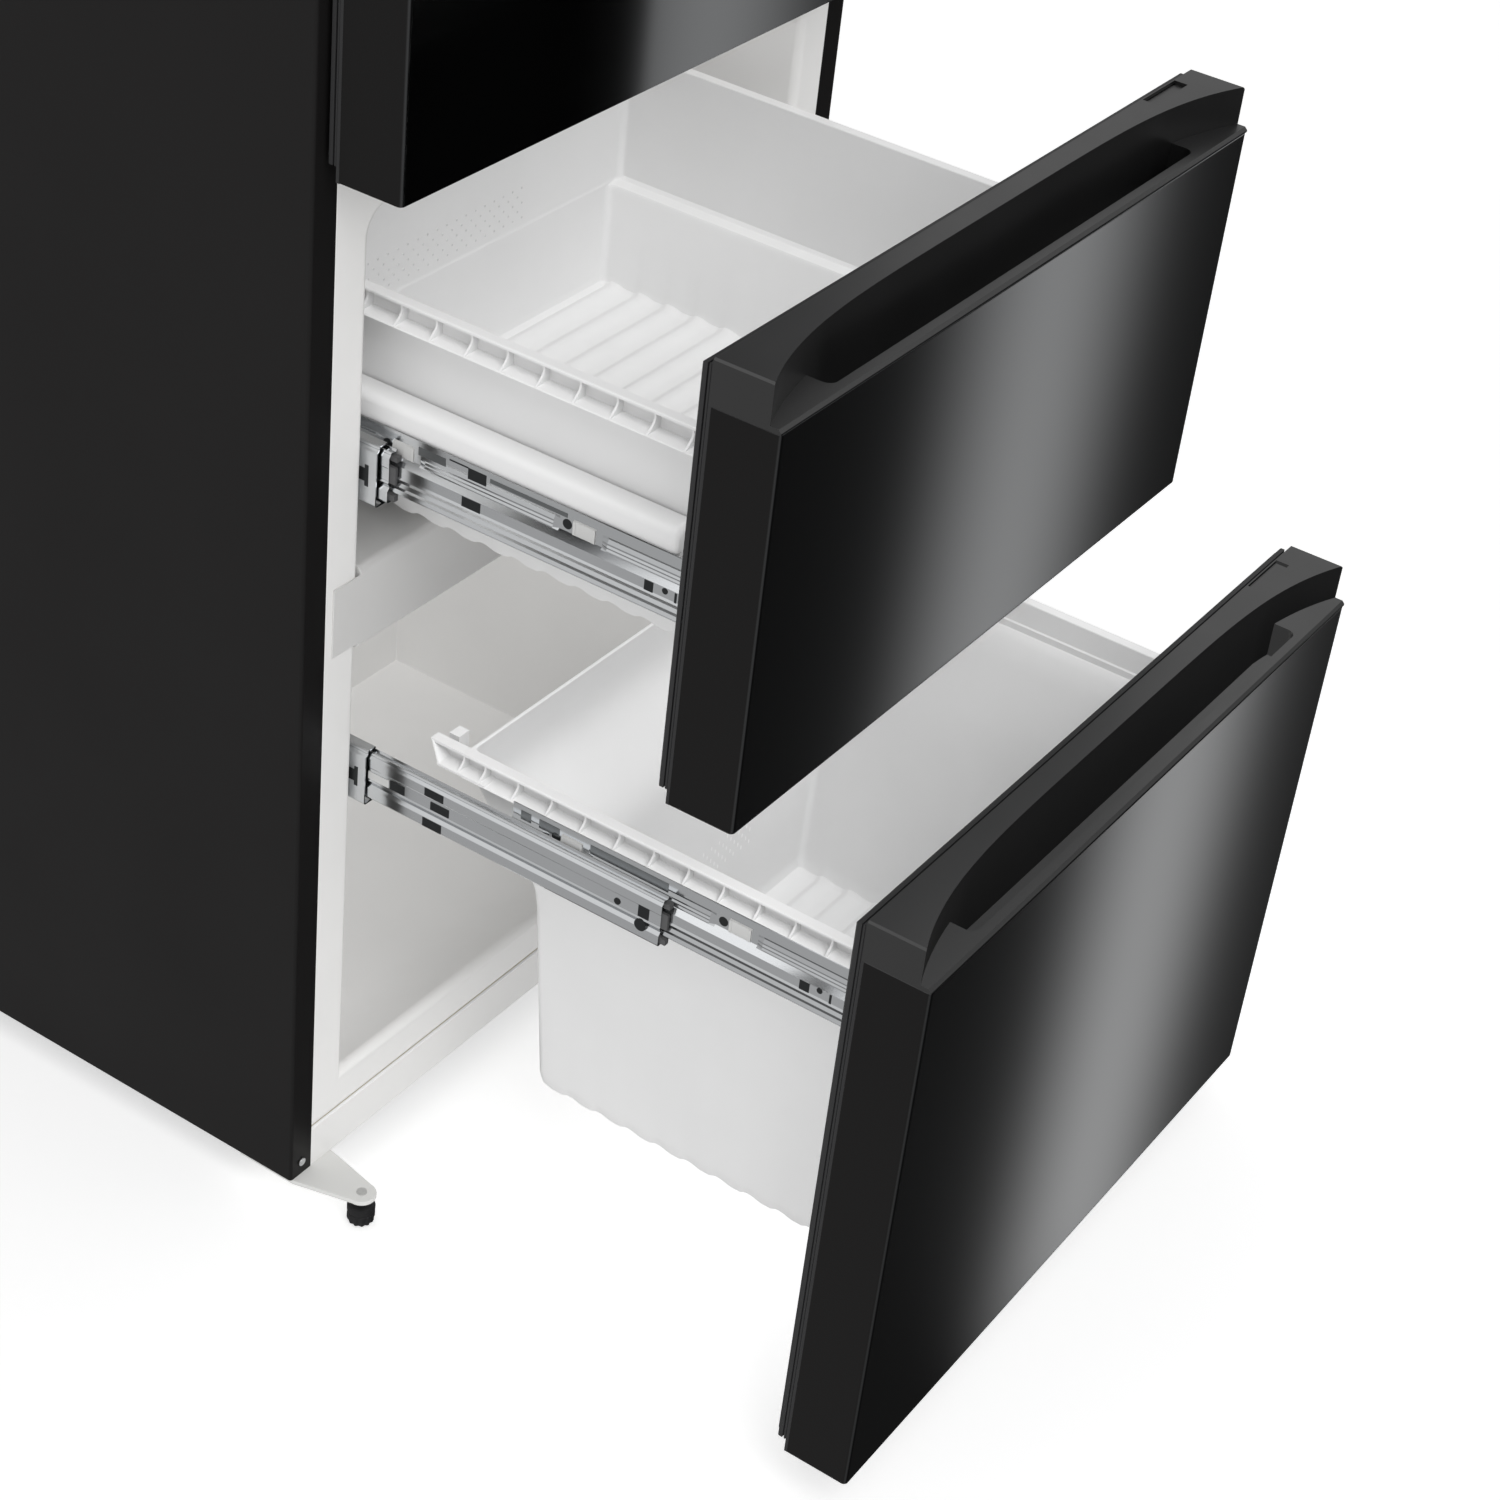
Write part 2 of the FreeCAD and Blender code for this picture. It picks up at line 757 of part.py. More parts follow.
def cabinet_sheets():
    """Kick strip, base plate, back panel and the slotted cover of the machine space."""
    piece(
        box("kick_strip", ("-frame_half", "frame_half"), (0, "kick_sheet"), ("cabinet_bottom", "kick_top"))
    )
    width = ("-inner_half", "inner_half")
    depth = ("kick_sheet + inner_round", "inner_rear")
    piece(box("base_plate", width, depth, ("cabinet_bottom", "inner_bottom")))
    piece(box("back_panel", width, ("inner_rear", "cabinet_depth"), ("machine_top", "inner_top")))
    plate = box("rear_plate", width, ("inner_rear", "cabinet_depth"), ("cabinet_bottom", "machine_top"))
    vents = []
    for number in range(int(value("vent_count"))):
        low = f"vent_lowest + {number} * vent_pitch"
        for side, middle in (("left", "-tray_left / 2"), ("right", "compressor_x")):
            vent = box(
                f"vent_{side}_{number}",
                (f"{middle} - vent_half", f"{middle} + vent_half"),
                ("inner_rear - cut_past", "cabinet_depth + cut_past"),
                (low, f"{low} + vent_height"),
            )
            vents.append(vent)
    piece(cut("rear_cover", plate, *vents))


# Fridge fittings


def fridge_fittings():
    shelves = []
    half = "fridge_half - shelf_clearance"
    for number in range(int(value("shelf_count"))):
        low = f"shelf_lowest + {number} * shelf_pitch"
        shelf = box(
            f"glass_shelf_{number}",
            (f"-({half})", half),
            ("shelf_front", "fridge_back - shelf_clearance"),
            (low, f"{low} + shelf_glass"),
        )
        shelves.append(shelf)
    piece(group("glass_shelves", *shelves))
    depth = ("crisper_front", "crisper_back")
    top = "fridge_floor + crisper_height"
    tub = box("crisper_tub", ("crisper_clearance", "fridge_half - crisper_clearance"), depth,
              ("fridge_floor", top))
    hollow = box(
        "crisper_hollow",
        ("crisper_clearance + tub_wall", "fridge_half - crisper_clearance - tub_wall"),
        ("crisper_front + tub_wall", "crisper_back - tub_wall"),
        ("fridge_floor + tub_wall", f"{top} + cut_past"),
    )
    right = cut("crisper_right", tub, hollow)
    piece(group("crisper_drawers", right, mirrored("crisper_left", right)))
    lamp = box(
        "lamp_block",
        ("-lamp_length / 2", "lamp_length / 2"),
        ("lamp_setback", "lamp_setback + lamp_width"),
        ("fridge_ceiling - lamp_height", "fridge_ceiling"),
    )
    piece(
        rounded(
            "lamp_cover",
            lamp,
            "lamp_height / 3",
            lambda edge: lies_at(edge, "z", "fridge_ceiling - lamp_height"),
        )
    )


# Fronts of the door and the drawers


def shifted(low, high, out):
    """A depth range moved forwards by how far a drawer is out."""
    return (f"({low}) - ({out})", f"({high}) - ({out})")


def front_skin(name, low, high, out, *holes):
    """Steel sheet over the front and both sides."""
    block = box(
        name + "_block", ("-front_half", "front_half"), shifted("front_face", "panel_face", out), (low, high)
    )
    half = "front_half - skin_sheet"
    inside = box(
        name + "_inside",
        (f"-({half})", half),
        shifted("front_face + skin_sheet", "panel_face + cut_past", out),
        (f"{low} - cut_past", f"{high} + cut_past"),
    )
    outside = folded(name + "_outside", block, "skin_round", f"front_face - ({out})")
    hollow = folded(name + "_hollow", inside, "core_round", f"front_face + skin_sheet - ({out})")
    piece(cut(name, outside, hollow, *holes))


def inside_block(name, low, high, out):
    """A block that fills a front between its skin and its inner panel."""
    half = "front_half - skin_sheet"
    block = box(
        name + "_block",
        (f"-({half})", half),
        shifted("front_face + skin_sheet", "panel_face", out),
        (low, high),
    )
    return folded(name, block, "core_round", f"front_face + skin_sheet - ({out})")


def inner_panel(name, low, high, plateau_low, plateau_high, out):
    """White inner panel with a raised middle that enters the opening."""
    half = "front_half - skin_sheet"
    sheet_part = box(
        name + "_sheet", (f"-({half})", half), shifted("panel_face", "front_back", out), (low, high)
    )
    raised = box(
        name + "_raised",
        ("-plateau_half", "plateau_half"),
        shifted("front_back", "plateau_face", out),
        (plateau_low, plateau_high),
    )
    soft = rounded(name + "_soft", raised, "plateau_round", lambda edge: runs_along(edge, Y_AXIS))
    return fuse(name, sheet_part, soft)


def gasket(name, low, high, seal, out):
    """Rubber frame between a front and the cabinet."""
    depth = shifted("front_back", seal, out)
    ring = box(name + "_outside", ("-gasket_half", "gasket_half"), depth, (low, high))
    half = "gasket_half - gasket_width"
    middle = box(
        name + "_inside",
        (f"-({half})", half),
        shifted("front_back - cut_past", f"{seal} + cut_past", out),
        (f"{low} + gasket_width", f"{high} - gasket_width"),
    )
    piece(cut(name, ring, middle))


def handle_trim(name, low, out):
    """Plastic trim with a scooped handle and a finger pocket behind its front ledge."""
    ledge_top = f"{low} + trim_ledge"
    top = f"{low} + trim_height"
    above = f"{top} + cut_past"
    width = ("-front_half", "front_half")
    shelf = box(name + "_shelf", width, shifted("front_face", "front_back", out), (low, ledge_top))
    soft_shelf = folded(name + "_soft_shelf", shelf, "skin_round", f"front_face - ({out})")
    shelf_front = value(f"front_face + skin_round - ({out})")
    ledge = chamfered(
        name + "_ledge",
        soft_shelf,
        "ledge_slope",
        lambda edge: lies_at(edge, "z", ledge_top) and edge.CenterOfMass.y < shelf_front,
    )
    upright = box(
        name + "_upright", width, shifted("front_face + trim_setback", "front_back", out), (ledge_top, top)
    )
    block = chamfered(
        name + "_block",
        upright,
        "trim_chamfer",
        lambda edge: runs_along(edge, Y_AXIS) and lies_at(edge, "z", top),
    )
    cup_half = "pocket_half + pocket_wall"
    cup = box(
        name + "_cup",
        (f"-({cup_half})", cup_half),
        shifted("front_face + trim_setback - pocket_wall", "front_face + pocket_back + pocket_wall", out),
        (f"{low} - pocket_drop - pocket_wall", low),
    )
    scoop = [
        box(
            name + "_scoop",
            ("-scoop_flat_half", "scoop_flat_half"),
            shifted("front_face - cut_past", "front_face + scoop_depth", out),
            (ledge_top, above),
        )
    ]
    slot_end = "pocket_half - pocket_round"
    slot_height = f"{ledge_top} - ({low} - pocket_drop)"
    slot = [
        box(
            name + "_slot",
            (f"-({slot_end})", slot_end),
            shifted("front_face + trim_setback", "front_face + pocket_back", out),
            (f"{low} - pocket_drop", ledge_top),
        )
    ]
    for side, sign in (("left", "-"), ("right", "")):
        scoop.append(
            cylinder(
                f"{name}_scoop_{side}",
                "z",
                (f"{sign}scoop_flat_half", f"front_face + scoop_depth - scoop_radius - ({out})", ledge_top),
                "scoop_radius",
                f"{above} - ({ledge_top})",
            )
        )
        slot.append(
            cylinder(
                f"{name}_slot_{side}",
                "z",
                (
                    f"{sign}({slot_end})",
                    f"front_face + trim_setback + pocket_round - ({out})",
                    f"{low} - pocket_drop",
                ),
                "pocket_round",
                slot_height,
            )
        )
    notch = box(
        name + "_notch",
        ("notch_left", "notch_right"),
        shifted("front_back - notch_width", "front_back + cut_past", out),
        (f"{top} - notch_depth", above),
    )
    piece(cut(name, fuse(name + "_solid", ledge, block, cup), *scoop, *slot, notch))
    return cup


def drawer_front(drawer, seal_low, seal_high, plateau_low, plateau_high):
    """All the pieces of one drawer front."""
    low, high, out = f"{drawer}_low", f"{drawer}_high", f"{drawer}_open"
    name = f"{drawer}_drawer"
    front_skin(name + "_skin", low, high, out)
    cup = handle_trim(name + "_handle_trim", high, out)
    piece(inside_block(name + "_end_cap", low, f"{low} + cap_height", out))
    filling = inside_block(name + "_filling", f"{low} + cap_height", high, out)
    piece(cut(name + "_foam_core", filling, cup))
    piece(inner_panel(name + "_inner_panel", low, high, plateau_low, plateau_high, out))
    gasket(name + "_gasket", seal_low, seal_high, "drawer_seal", out)


def fridge_door():
    """All the pieces that swing with the fridge door."""
    low, high = "door_low", "door_high"
    pocket = box(
        "grip_outside",
        ("-front_half", "-front_half + grip_depth"),
        ("-hinge_setback - grip_width / 2", "-hinge_setback + grip_width / 2"),
        ("grip_low", "grip_high"),
    )
    mouth = box(
        "grip_inside",
        ("-front_half - cut_past", "-front_half + grip_depth - grip_wall"),
        ("-hinge_setback - grip_width / 2 + grip_wall", "-hinge_setback + grip_width / 2 - grip_wall"),
        ("grip_low + grip_wall", "grip_high - grip_wall"),
    )
    piece(cut("door_grip", pocket, mouth))
    front_skin("door_skin", low, high, 0, pocket)
    bore_radius = "pin_radius + pin_slack"
    for name, cap_low, cap_high, start, height in (
        ("door_lower_cap", low, f"{low} + cap_height", f"{low} - cut_past",
         "pin_reach - hinge_gap + pin_slack + cut_past"),
        ("door_upper_cap", f"{high} - cap_height", high, f"{high} - pin_reach", "pin_reach + cut_past"),
    ):
        block = inside_block(name + "_block", cap_low, cap_high, 0)
        bore = cylinder(name + "_bore", "z", ("pivot_x", "pivot_y", start), bore_radius, height)
        piece(cut(name, block, bore))
    filling = inside_block("door_filling", f"{low} + cap_height", f"{high} - cap_height", 0)
    piece(cut("door_foam_core", filling, pocket))
    piece(
        inner_panel(
            "door_inner_panel",
            low,
            high,
            "fridge_floor + plateau_margin",
            "fridge_ceiling - plateau_margin",
            0,
        )
    )
    gasket("door_gasket", "liner_seam + gasket_width + frame_round", "frame_top - gasket_clearance",
           "door_seal", 0)
    bins = []
    for number in range(int(value("bin_count"))):
        floor = f"bin_lowest + {number} * bin_pitch"
        tub = box(
            f"bin_tub_{number}",
            ("-bin_half", "bin_half"),
            ("plateau_face", "plateau_face + bin_depth"),
            (floor, f"{floor} + bin_height"),
        )
        hollow = box(
            f"bin_hollow_{number}",
            ("-bin_half + tub_wall", "bin_half - tub_wall"),
            ("plateau_face + tub_wall", "plateau_face + bin_depth - tub_wall"),
            (f"{floor} + tub_wall", f"{floor} + bin_height + cut_past"),
        )
        bins.append(cut(f"door_bin_{number}", tub, hollow))
    piece(group("door_bins", *bins))


def door_hinges():
    """Hinge plates with pins above and below the door's right edge, and the cover of the upper one."""
    across = ("pivot_x + hinge_inset - hinge_width", "pivot_x + hinge_inset")
    reach = "pivot_y - 2 * pin_radius"
    top_plate = box("top_hinge_plate", across, (reach, "hinge_rear"),
                    ("cabinet_top", "cabinet_top + hinge_plate"))
    top_pin = cylinder(
        "top_hinge_pin",
        "z",
        ("pivot_x", "pivot_y", "door_high - pin_reach + pin_slack"),
        "pin_radius",
        "cabinet_top - door_high + pin_reach - pin_slack",
    )
    piece(fuse("top_hinge", top_plate, top_pin))
    wall = "hinge_cover_wall"
    cover = box(
        "hinge_cover_block",
        (f"{across[0]} - {wall}", f"{across[1]} + {wall}"),
        (f"{reach} - {wall}", f"hinge_rear + {wall}"),
        ("cabinet_top", "cabinet_top + hinge_cover_height"),
    )
    inside = box(
        "hinge_cover_inside",
        across,
        (reach, "hinge_rear"),
        ("cabinet_top - cut_past", f"cabinet_top + hinge_cover_height - {wall}"),
    )
    piece(cut("hinge_cover", cover, inside))
    plate = box("mid_hinge_plate", across, (reach, 0), ("mid_hinge_low", "mid_hinge_top"))
    foot = box("mid_hinge_foot", across, ("-hinge_plate", 0), ("mid_hinge_low", "mid_hinge_low + hinge_foot"))
    pin = cylinder(
        "mid_hinge_pin", "z", ("pivot_x", "pivot_y", "mid_hinge_top"), "pin_radius", "pin_reach"
    )
    piece(fuse("middle_hinge", plate, foot, pin))


# Slides


def channel(edge, middle, height, depth):
    """Outline of a left rail that opens inwards."""
    left = f"-({edge})"
    web = f"{left} + rail_sheet"
    tip = f"{left} + {depth}"
    low = f"{middle} - ({height}) / 2"
    high = f"{middle} + ({height}) / 2"
    return [
        (left, low),
        (tip, low),
        (tip, f"{low} + rail_sheet"),
        (web, f"{low} + rail_sheet"),
        (web, f"{high} - rail_sheet"),
        (tip, f"{high} - rail_sheet"),
        (tip, high),
        (left, high),
    ]


def rail_pair(name, left):
    """A rail and its mirror image under one name."""
    piece(group(name, left, mirrored(name + "_right", left)))


def slide(drawer):
    """Outer, middle and inner rails on both sides of one drawer. The inner ones carry its basket."""
    middle = f"{drawer}_rail"
    out = f"{drawer}_open"
    outer = padded(
        f"{drawer}_outer_left",
        "XZ_Plane",
        channel("freezer_half", middle, "rail_height", "rail_depth"),
        "-outer_rail_lead",
        "outer_rail_back",
    )
    rail_pair(f"{drawer}_outer_rails", outer)
    between = padded(
        f"{drawer}_middle_left",
        "XZ_Plane",
        channel("middle_edge", middle, "middle_height", "rail_depth - web_gap"),
        *shifted(f"{drawer}_middle_set_back", "middle_rail_back", f"{drawer}_middle_out"),
    )
    rail_pair(f"{drawer}_middle_rails", between)
    inner = padded(
        f"{drawer}_inner_channel",
        "XZ_Plane",
        channel("inner_edge", middle, "inner_height", "rail_depth - 2 * web_gap - rail_sheet"),
        *shifted("front_back", "inner_rail_back", out),
    )
    ledge = box(
        f"{drawer}_ledge",
        ("-inner_edge", f"-{drawer}_ledge_end"),
        shifted("plateau_face + ledge_clearance", "inner_rail_back", out),
        (f"{drawer}_ledge_top - rail_sheet", f"{drawer}_ledge_top"),
    )
    rail_pair(f"{drawer}_inner_rails", fuse(f"{drawer}_inner_left", inner, ledge))


# Baskets


def moved_end(half, front, back, height, out, grow=0):
    """One end of a basket's taper, moved out with its drawer and grown by a wall."""
    return (
        f"{half} + {grow}",
        f"{front} - {grow} - ({out})",
        f"{back} + {grow} - ({out})",
        height,
    )


def basket_rim(name, rim, half, back, tail, out):
    """Two flanges round the mouth with gussets between them; at both sides they run on past the rear wall."""
    front = "basket_front - basket_wall - rim_front_reach"
    rear = f"{back} + {tail}"
    low = f"{rim} - rim_drop"
    upright = (low, rim)
    flanges = []
    for place, reach, height in (
        ("top", "rim_top_reach", (f"{rim} - basket_wall", rim)),
        ("low", "rim_reach", (low, f"{low} + basket_wall")),
    ):
        side = f"{half} + basket_wall + {reach}"
        flanges.append(
            box(f"{name}_{place}_flange", (f"-({side})", side), shifted(front, rear, out), height)
        )
    side = f"{half} + basket_wall + rim_top_reach"
    run = value(back) - value("basket_front") - 2 * value("gusset_margin")
    count = int(run / value("gusset_pitch")) + 1
    places = [f"basket_front + gusset_margin + {number} * gusset_pitch" for number in range(count)]
    for number, place in enumerate([*places, f"{rear} - gusset_sheet"]):
        depth = shifted(place, f"{place} + gusset_sheet", out)
        flanges.append(box(f"{name}_gusset_{number}", (f"-({side})", side), depth, upright))
    tail_wall = box(
        f"{name}_tail_wall_left",
        (f"-({half} + basket_wall)", f"-({half})"),
        shifted(f"{back} - basket_round", rear, out),
        upright,
    )
    flanges += [tail_wall, mirrored(f"{name}_tail_wall_right", tail_wall)]
    notch = box(
        f"{name}_rear_notch",
        (f"-({half})", half),
        shifted(f"{back} + basket_wall", f"{rear} + cut_past", out),
        (f"{low} - cut_past", f"{rim} + cut_past"),
    )
    return flanges, notch


def floor_ribs(name, floor, half, back, out):
    """Ribs across a basket's floor at a steady pitch."""
    run = value(back) - value("basket_front") - 2 * value("floor_rib_margin")
    ribs = []
    for number in range(int(run / value("floor_rib_pitch")) + 1):
        middle = f"basket_front + floor_rib_margin + {number} * floor_rib_pitch"
        rib = box(
            f"{name}_rib_{number}",
            (f"-({half}) + floor_rib_width", f"{half} - floor_rib_width"),
            shifted(f"{middle} - floor_rib_width / 2", f"{middle} + floor_rib_width / 2", out),
            (floor, f"{floor} + floor_rib"),
        )
        ribs.append(rib)
    return ribs


def tapered_shell(name, stages, out):
    """Rounded outside and inside of a basket that widens in one or more stages."""
    outsides, insides = [], []
    for number, (low, high, skin_low, skin_high) in enumerate(stages):
        inside = frustum(f"{name}_inside_{number}", moved_end(*low, out), moved_end(*high, out))
        outside = frustum(
            f"{name}_outside_{number}",
            moved_end(*low[:3], skin_low, out, "basket_wall"),
            moved_end(*high[:3], skin_high, out, "basket_wall"),
        )
        insides.append(rounded(f"{name}_hollow_{number}", inside, "basket_round", leans))
        outsides.append(rounded(f"{name}_skin_{number}", outside, "basket_round + basket_wall", leans))
    return outsides, insides


def basket(drawer, stages):
    """A white pull-out basket with a rim and a ribbed floor."""
    name = f"{drawer}_basket"
    rim, half, back = f"{drawer}_rim", f"{drawer}_mouth_half", f"{drawer}_mouth_back"
    floor, floor_half, floor_back = f"{drawer}_floor", f"{drawer}_floor_half", f"{drawer}_floor_back"
    out = f"{drawer}_open"
    outsides, insides = tapered_shell(name, stages, out)
    frame, notch = basket_rim(name, rim, half, back, f"{drawer}_rim_tail", out)
    shell = cut(name + "_shell", fuse(name + "_solid", *frame, *outsides), *insides, notch)
    piece(fuse(name, shell, *floor_ribs(name, floor, floor_half, floor_back, out)))


def baskets():
    mouth = ("upper_mouth_half", "basket_front", "upper_mouth_back", "upper_rim")
    step_top = "upper_step + basket_wall"
    step_low = ("upper_step_half", "basket_front", "upper_step_back", step_top)
    step_high = ("upper_step_half + upper_step_width", "basket_front", "upper_step_back", step_top)
    bottom = ("upper_floor_half", "basket_front", "upper_floor_back", "upper_floor")
    basket(
        "upper",
        [
            (bottom, step_low, "upper_floor - basket_wall", "upper_step"),
            (step_high, mouth, "upper_step", "upper_rim"),
        ],
    )
    mouth = ("lower_mouth_half", "basket_front", "lower_mouth_back", "lower_rim")
    bottom = ("lower_floor_half", "basket_front", "lower_floor_back", "lower_floor")
    shoulder = ("lower_shoulder_half", "basket_front", "lower_shoulder_back", "lower_shoulder")
    bend = ("lower_bend_half", "basket_front", "lower_bend_back", "lower_bend")
    basket(
        "lower",
        [
            (bottom, shoulder, "lower_floor - basket_wall", "lower_shoulder"),
            (shoulder, bend, "lower_shoulder", "lower_bend"),
            (bend, mouth, "lower_bend", "lower_rim"),
        ],
    )


def side_bars():
    """White bars beside the upper basket that stand on the ledges of its inner rails."""
    bar = box(
        "side_bar_block",
        ("-bar_outer", "-bar_inner"),
        shifted("bar_front", "bar_back", "upper_open"),
        ("upper_ledge_top", "upper_ledge_top + bar_height"),
    )
    left = rounded(
        "side_bar_left",
        bar,
        "bar_round",
        lambda edge: runs_along(edge, Z_AXIS) and lies_at(edge, "y", "bar_front - upper_open"),
    )
    piece(group("upper_side_bars", left, mirrored("side_bar_right", left)))


# Feet and rollers


def foot_brackets():
    """Flat plates under the cabinet whose rounded tips carry the levelling feet."""
    plate = padded(
        "foot_bracket_plate",
        "XY_Plane",
        [
            ("-bracket_outer", "bracket_rear"),
            ("-bracket_outer", 0),
            ("-foot_x - bracket_tip", "-foot_reach"),
            ("-foot_x + bracket_tip", "-foot_reach"),
            ("-bracket_inner", 0),
            ("-bracket_inner", "bracket_rear"),
        ],
        "bracket_low",
        "cabinet_bottom",
    )
    tip = cylinder(
        "foot_bracket_tip", "z", ("-foot_x", "-foot_reach", "bracket_low"), "bracket_tip", "bracket_sheet"
    )
    hole = cylinder(
        "foot_bracket_hole",
        "z",
        ("-foot_x", "-foot_reach", "bracket_low - cut_past"),
        "stud_radius + pin_slack",
        "bracket_sheet + 2 * cut_past",
    )
    left = cut("foot_bracket_left", fuse("foot_bracket_solid", plate, tip), hole)
    piece(group("foot_brackets", left, mirrored("foot_bracket_right", left)))


def levelling_foot(side, sign):
    """Foot with a stud that stands up through its bracket."""
    outline = [
        (0, 0),
        ("foot_radius", 0),
        ("foot_radius", "foot_height"),
        ("stud_radius", "foot_height"),
        ("stud_radius", "stud_top"),
        (0, "stud_top"),
    ]
    piece(turned(f"levelling_foot_{side}", outline, f"{sign}foot_x", "-foot_reach"))


def roller_set():
    """Rear rollers on axles between the lugs of their brackets."""
    lug_edge = "roller_width / 2 + roller_gap"
    outer = f"{lug_edge} + roller_lug"
    around = ("roller_y - roller_plate_half", "roller_y + roller_plate_half")
    plate = box(
        "roller_plate_left",
        (f"-roller_x - ({outer})", f"-roller_x + {outer}"),
        around,
        ("roller_plate_low", "cabinet_bottom"),
    )
    parts = [plate]
    for place, low, high in (
        ("far", f"-roller_x - ({outer})", f"-roller_x - ({lug_edge})"),
        ("near", f"-roller_x + {lug_edge}", f"-roller_x + {outer}"),
    ):
        parts.append(
            box(
                f"roller_lug_{place}",
                (low, high),
                ("roller_y - 2 * axle_radius", "roller_y + 2 * axle_radius"),
                ("roller_radius - 2 * axle_radius", "roller_plate_low"),
            )
        )
    start = (f"-roller_x - ({outer})", "roller_y", "roller_radius")
    parts.append(cylinder("roller_axle", "x", start, "axle_radius", f"2 * ({outer})"))
    bracket = fuse("roller_bracket_left", *parts)
    piece(group("roller_brackets", bracket, mirrored("roller_bracket_right", bracket)))
    wheel = cylinder(
        "roller_wheel", "x", ("-roller_x - roller_width / 2", "roller_y", "roller_radius"), "roller_radius",
        "roller_width",
    )
    bore = cylinder("roller_bore", "x", start, "axle_radius + pin_slack", f"2 * ({outer})")
    left = piece(cut("rear_roller_left", wheel, bore))
    piece(mirrored("rear_roller_right", left))


# Cold circuit


def fan(name, axis, centre, spin):
    """Hub with pitched blades and a bore for its motor's shaft."""
    hub = cylinder(name + "_hub", axis, centre, "hub_radius", "hub_length")
    bore_start = list(centre)
    spin_letter = "xyz".index(axis)
    bore_start[spin_letter] = f"{centre[spin_letter]} - cut_past"
    bore = cylinder(
        name + "_bore", axis, bore_start, "shaft_radius + pin_slack", "hub_length + 2 * cut_past"
    )
    start = FreeCAD.Vector(*[value(text) for text in centre])
    middle = start + spin * (value("hub_length") / 2)
    blades = []
    count = int(value("blade_count"))
    for number in range(count):
        blade = doc.addObject("Part::Box", f"{name}_blade_{number}")
        bind(blade, "Length", "blade_reach")
        bind(blade, "Width", "blade_sheet")
        bind(blade, "Height", "blade_chord")
        root = FreeCAD.Vector(value("hub_radius - 2 * blade_sheet"), -value("blade_sheet") / 2,
                              -value("blade_chord") / 2)
        pitch = FreeCAD.Rotation(X_AXIS, value("blade_pitch"))
        around = FreeCAD.Rotation(Z_AXIS, 360 * number / count)
        turn = AXIS_TURNS[axis].multiply(around).multiply(pitch)
        blade.Placement = FreeCAD.Placement(middle + turn.multVec(root), turn)
        blades.append(blade)
    piece(cut(name, fuse(name + "_solid", hub, *blades), bore))


def finned_coil(name, x, y, z, pitch, tube_places):
    """Upright fins in a row, joined by tubes that run across them."""
    fins = []
    run = value(x[1]) - value(x[0])
    for number in range(int(run / value(pitch)) + 1):
        left = f"{x[0]} + {number} * {pitch}"
        fins.append(box(f"{name}_fin_{number}", (left, f"{left} + fin_sheet"), y, z))
    for number, (across, up) in enumerate(tube_places):
        tube = cylinder(
            f"{name}_tube_{number}",
            "x",
            (f"{x[0]} - tube_end", across, up),
            "tube_radius",
            f"({x[1]}) - ({x[0]}) + 2 * tube_end",
        )
        fins.append(tube)
    piece(fuse(name, *fins))


def machine_room():
    """Compressor, condenser over its drip tray, and the condenser fan."""
    outline = [
        (0, "compressor_low"),
        ("compressor_radius", "compressor_low"),
        ("compressor_radius", "compressor_low + compressor_height - dome_height"),
        ("dome_radius", "compressor_low + compressor_height"),
        (0, "compressor_low + compressor_height"),
    ]
    pot = turned("compressor_pot", outline, "compressor_x", "machine_y")
    plate = box(
        "compressor_plate",
        ("compressor_x - foot_plate_half", "compressor_x + foot_plate_half"),
        ("machine_y - compressor_radius", "machine_y + compressor_radius"),
        ("foot_plate_low", "compressor_low"),
    )
    grommets = []
    for side in ("-", "+"):
        for end in ("-", "+"):
            start = (
                f"compressor_x {side} (foot_plate_half - grommet_radius)",
                f"machine_y {end} (compressor_radius - grommet_radius)",
                "inner_bottom",
            )
            grommets.append(
                cylinder(f"grommet_{len(grommets)}", "z", start, "grommet_radius", "grommet_height")
            )
    piece(fuse("compressor", pot, plate, *grommets))
    across = ("-tray_left", "-tray_right")
    depth = ("machine_y - tray_half_depth", "machine_y + tray_half_depth")
    tray = box("tray_block", across, depth, ("inner_bottom", "tray_top"))
    basin = box(
        "tray_basin",
        ("-tray_left + tray_wall", "-tray_right - tray_wall"),
        ("machine_y - tray_half_depth + tray_wall", "machine_y + tray_half_depth - tray_wall"),
        ("inner_bottom + tray_wall", "tray_top + cut_past"),
    )
    piece(cut("drip_tray", tray, basin))
    tubes = []
    for row in ("-", "+"):
        for share in ("1 / 4", "3 / 4"):
            tubes.append((f"machine_y {row} tray_half_depth / 2", f"tray_top + condenser_height * {share}"))
    finned_coil(
        "condenser",
        ("-tray_left + tube_end", "-tray_right - tube_end"),
        depth,
        ("tray_top", "tray_top + condenser_height"),
        "condenser_pitch",
        tubes,
    )
    can = cylinder(
        "condenser_motor_can", "x", ("-motor_left", "machine_y", "fan_height"), "motor_radius", "motor_length"
    )
    post = box(
        "condenser_motor_post",
        ("-motor_left + motor_length / 4", "-motor_left + motor_length * 3 / 4"),
        ("machine_y - motor_post / 2", "machine_y + motor_post / 2"),
        ("inner_bottom", "fan_height"),
    )
    shaft = cylinder(
        "condenser_shaft",
        "x",
        ("-motor_left - shaft_reach", "machine_y", "fan_height"),
        "shaft_radius",
        "shaft_reach + motor_length / 2",
    )
    piece(fuse("condenser_fan_motor", can, post, shaft))
    fan("condenser_fan", "x", ("-motor_left - hub_gap - hub_length", "machine_y", "fan_height"), X_AXIS)


